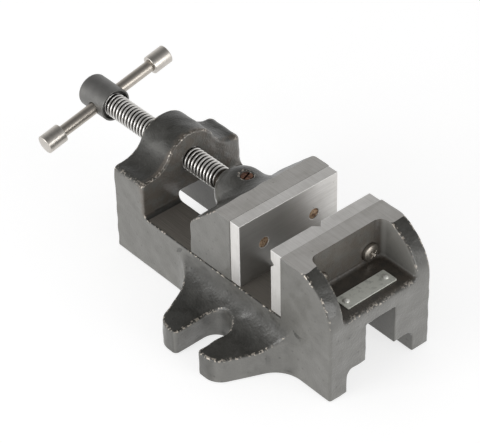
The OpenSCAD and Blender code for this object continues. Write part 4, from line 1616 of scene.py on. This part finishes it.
@dataclass
class Handle:
    """The screw's round head, the tommy bar through it and the bar's two knobs."""

    at: Layout
    head_r: float = 11.4
    face: float = -165.95
    back: float = -191.75
    recess: float = 4.0
    rim: float = 1.4
    bar_r: float = 4.0
    bar_len: float = 106.0
    knob_r: float = 6.5
    knob_len: float = 14.5

    def on_bar(self) -> Matrix:
        """The bar's own axes in the frame, in millimetres, with Z along the bar."""
        move = Matrix.Translation((self.at.bar_x, 0, self.at.screw_z))
        return move @ Matrix.Rotation(self.at.tilt - math.pi / 2, 4, "X")

    def head(self) -> None:
        """The head, with its recess round the screw, the cross hole and the locking pin."""
        z, tilt = self.at.screw_z, self.at.tilt
        head = rod(0, self.head_r, (0.0, z)).kept(above(0, self.back), 2.4).kept(below(0, self.face), 0.45)
        head = head.cut(rod(0, self.head_r - self.rim, (0.0, z)) & above(0, self.face - self.recess), 0.35)
        head = head.cut(rod(0, 6.28, (0.0, z)) & above(0, self.back + 3.0))
        c, s = math.cos(tilt), math.sin(tilt)

        def cross(p: Points) -> np.ndarray:
            """The cut of the cross hole."""
            side = -p[1] * s + (p[2] - z) * c
            return np.hypot(p[0] - self.at.bar_x, side) - self.bar_r - 0.35

        pin_x = (self.back + 3.0 + self.at.bar_x - self.bar_r) / 2
        head = head.cut(Shape(cross), 0.5).cut(rod(2, 1.53, (pin_x, 0.0)) & below(2, z), 0.15)
        x = ticks(
            self.back - 0.6, self.face + 0.6, 0.5, (self.back + 1.2, 1.8, 0.35), (self.face, 1.0, 0.25),
            (self.face - self.recess, 0.6, 0.3),
        )
        span = ticks(-self.head_r - 0.7, self.head_r + 0.7, 0.42)
        made = solid_mesh("screw_head", head, (x, span, span + z), 0.1)
        dress(made, "screw", "satin_steel", ["handle_head"], SatinSteel())
        move = Matrix.Translation((pin_x, 0, z))
        profile = [(0.0, -10.9, 0.0), (1.5, -10.9, 0.35), (1.5, -0.5, 0.2), (0.0, -0.5, 0.0)]
        pin = lathe("locking_pin", profile, move, 32)
        dress(pin, "screw", "satin_steel", ["head_pin"], PIN_STEEL)

    def bar(self) -> None:
        """The bar and its knobs."""
        axis = (0.0, math.cos(self.at.tilt), math.sin(self.at.tilt))
        end = self.bar_len / 2 - 3.0
        profile = [(0.0, -end, 0.0), (self.bar_r, -end, 0.6), (self.bar_r, end, 0.6), (0.0, end, 0.0)]
        bar = lathe("cross_bar", profile, self.on_bar())
        dress(bar, "handle_bar", "turned_steel", ["tommy_bar"], TurnedSteel(axis=axis))
        outer, bore = self.bar_len / 2, self.bar_r + 0.03
        inner = outer - self.knob_len
        profile = [
            (0.0, outer, 0.0), (self.knob_r, outer, 0.8), (self.knob_r, inner, 0.7), (bore, inner, 0.25),
            (bore, end, 0.0), (0.0, end, 0.0),
        ]
        part = lathe("knob_part", profile, Matrix.Identity(4))
        finish = TurnedSteel("turned_knob", axis, (0.62, 0.585, 0.54), 0.25, 0.22)
        middle = Vector((self.at.bar_x, 0, self.at.screw_z)) * MM
        made = Repeat().place(
            "bar_knobs", part, finish, Count=2, First=tuple(middle), Step=(0.0, 0.0, 0.0),
            Turn=(self.at.tilt - math.pi / 2, 0.0, 0.0), Turn_each=(math.pi, 0.0, 0.0),
        )
        dress(made, "handle_bar", "turned_steel", ["knob_left", "knob_right"], finish)


# ---------------------------------------------------------------- stage


@dataclass
class Studio:
    """The floor, the soft lights and the camera."""

    place: Triple = (0.7735, -0.6931, 0.9046)
    azimuth: float = 49.69
    elevation: float = 38.89
    roll: float = -1.29
    lens: float = 165.0

    def floor(self) -> None:
        """A wide pale floor at the vise's feet."""
        mesh = bpy.data.meshes.new("floor")
        far = 6.0
        mesh.from_pydata([(-far, -far, 0), (far, -far, 0), (far, far, 0), (-far, far, 0)], [], [(0, 1, 2, 3)])
        floor = placed("floor", mesh)
        floor.location.z = -0.0002
        mesh.materials.append(PaleFloor().material())

    def lamp(self, name: str, at: Triple, size: float, power: float) -> None:
        """One square soft light that faces the vise."""
        data = bpy.data.lights.new(name, "AREA")
        data.shape, data.size, data.energy = "SQUARE", size, power
        lamp = placed(name, data)
        lamp.location = at
        lamp.rotation_euler = (Vector((0, 0, 0.04)) - Vector(at)).to_track_quat("-Z", "Y").to_euler()

    def light(self) -> None:
        """Soft light from both sides, and a bright even room."""
        self.lamp("key", (-0.35, -1.7, 0.5), 0.9, 15.0)
        self.lamp("side", (1.7, 0.35, 0.45), 0.9, 9.0)
        world = bpy.data.worlds.new("room")
        world.use_nodes = True
        g = Graph(world.node_tree)
        _, _, up = g.split(g.node("ShaderNodeTexCoord", None, None, "Object"))
        glow = 1.0 - up.high(0.0) ** 1.4 * 0.85
        sky = g.node("ShaderNodeBackground", None, {"Color": (1.0, 1.0, 1.0), "Strength": glow})
        end = g.tree.nodes.new("ShaderNodeOutputWorld")
        g.tree.links.new(sky.socket, end.inputs["Surface"])
        bpy.context.scene.world = world
        bpy.context.scene.view_settings.view_transform = "Standard"

    def camera(self) -> None:
        """A long lens at the viewing angle."""
        az, el, roll = (math.radians(v) for v in (self.azimuth, self.elevation, self.roll))
        back = Vector((math.sin(az) * math.cos(el), -math.cos(az) * math.cos(el), math.sin(el)))
        right = Vector((math.cos(az), math.sin(az), 0))
        up = back.cross(right)
        across = right * math.cos(roll) + up * math.sin(roll)
        upward = -right * math.sin(roll) + up * math.cos(roll)
        data = bpy.data.cameras.new("camera")
        data.lens, data.sensor_width, data.clip_start, data.clip_end = self.lens, 36.0, 0.05, 20.0
        camera = placed("camera", data)
        turn = Matrix((across, upward, back)).transposed().to_4x4()
        camera.matrix_world = Matrix.Translation(self.place) @ turn
        bpy.context.scene.camera = camera


def main() -> None:
    """Builds every piece in order."""
    logging.basicConfig(level=logging.INFO, format="%(name)s: %(message)s")
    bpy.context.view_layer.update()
    at = Layout.read()
    studio = Studio()
    studio.camera()
    studio.floor()
    studio.light()
    BaseCasting(at).build()
    MovingJaw(at).build()
    plates = JawPlates(at)
    plates.fixed()
    plates.moving()
    plates.keeper()
    small = Hardware(at)
    small.plate_screws()
    small.keeper_screws()
    small.name_plate()
    small.retainer()
    LeadScrew(at).build()
    handle = Handle(at)
    handle.head()
    handle.bar()


if __name__ == "__main__":
    main()
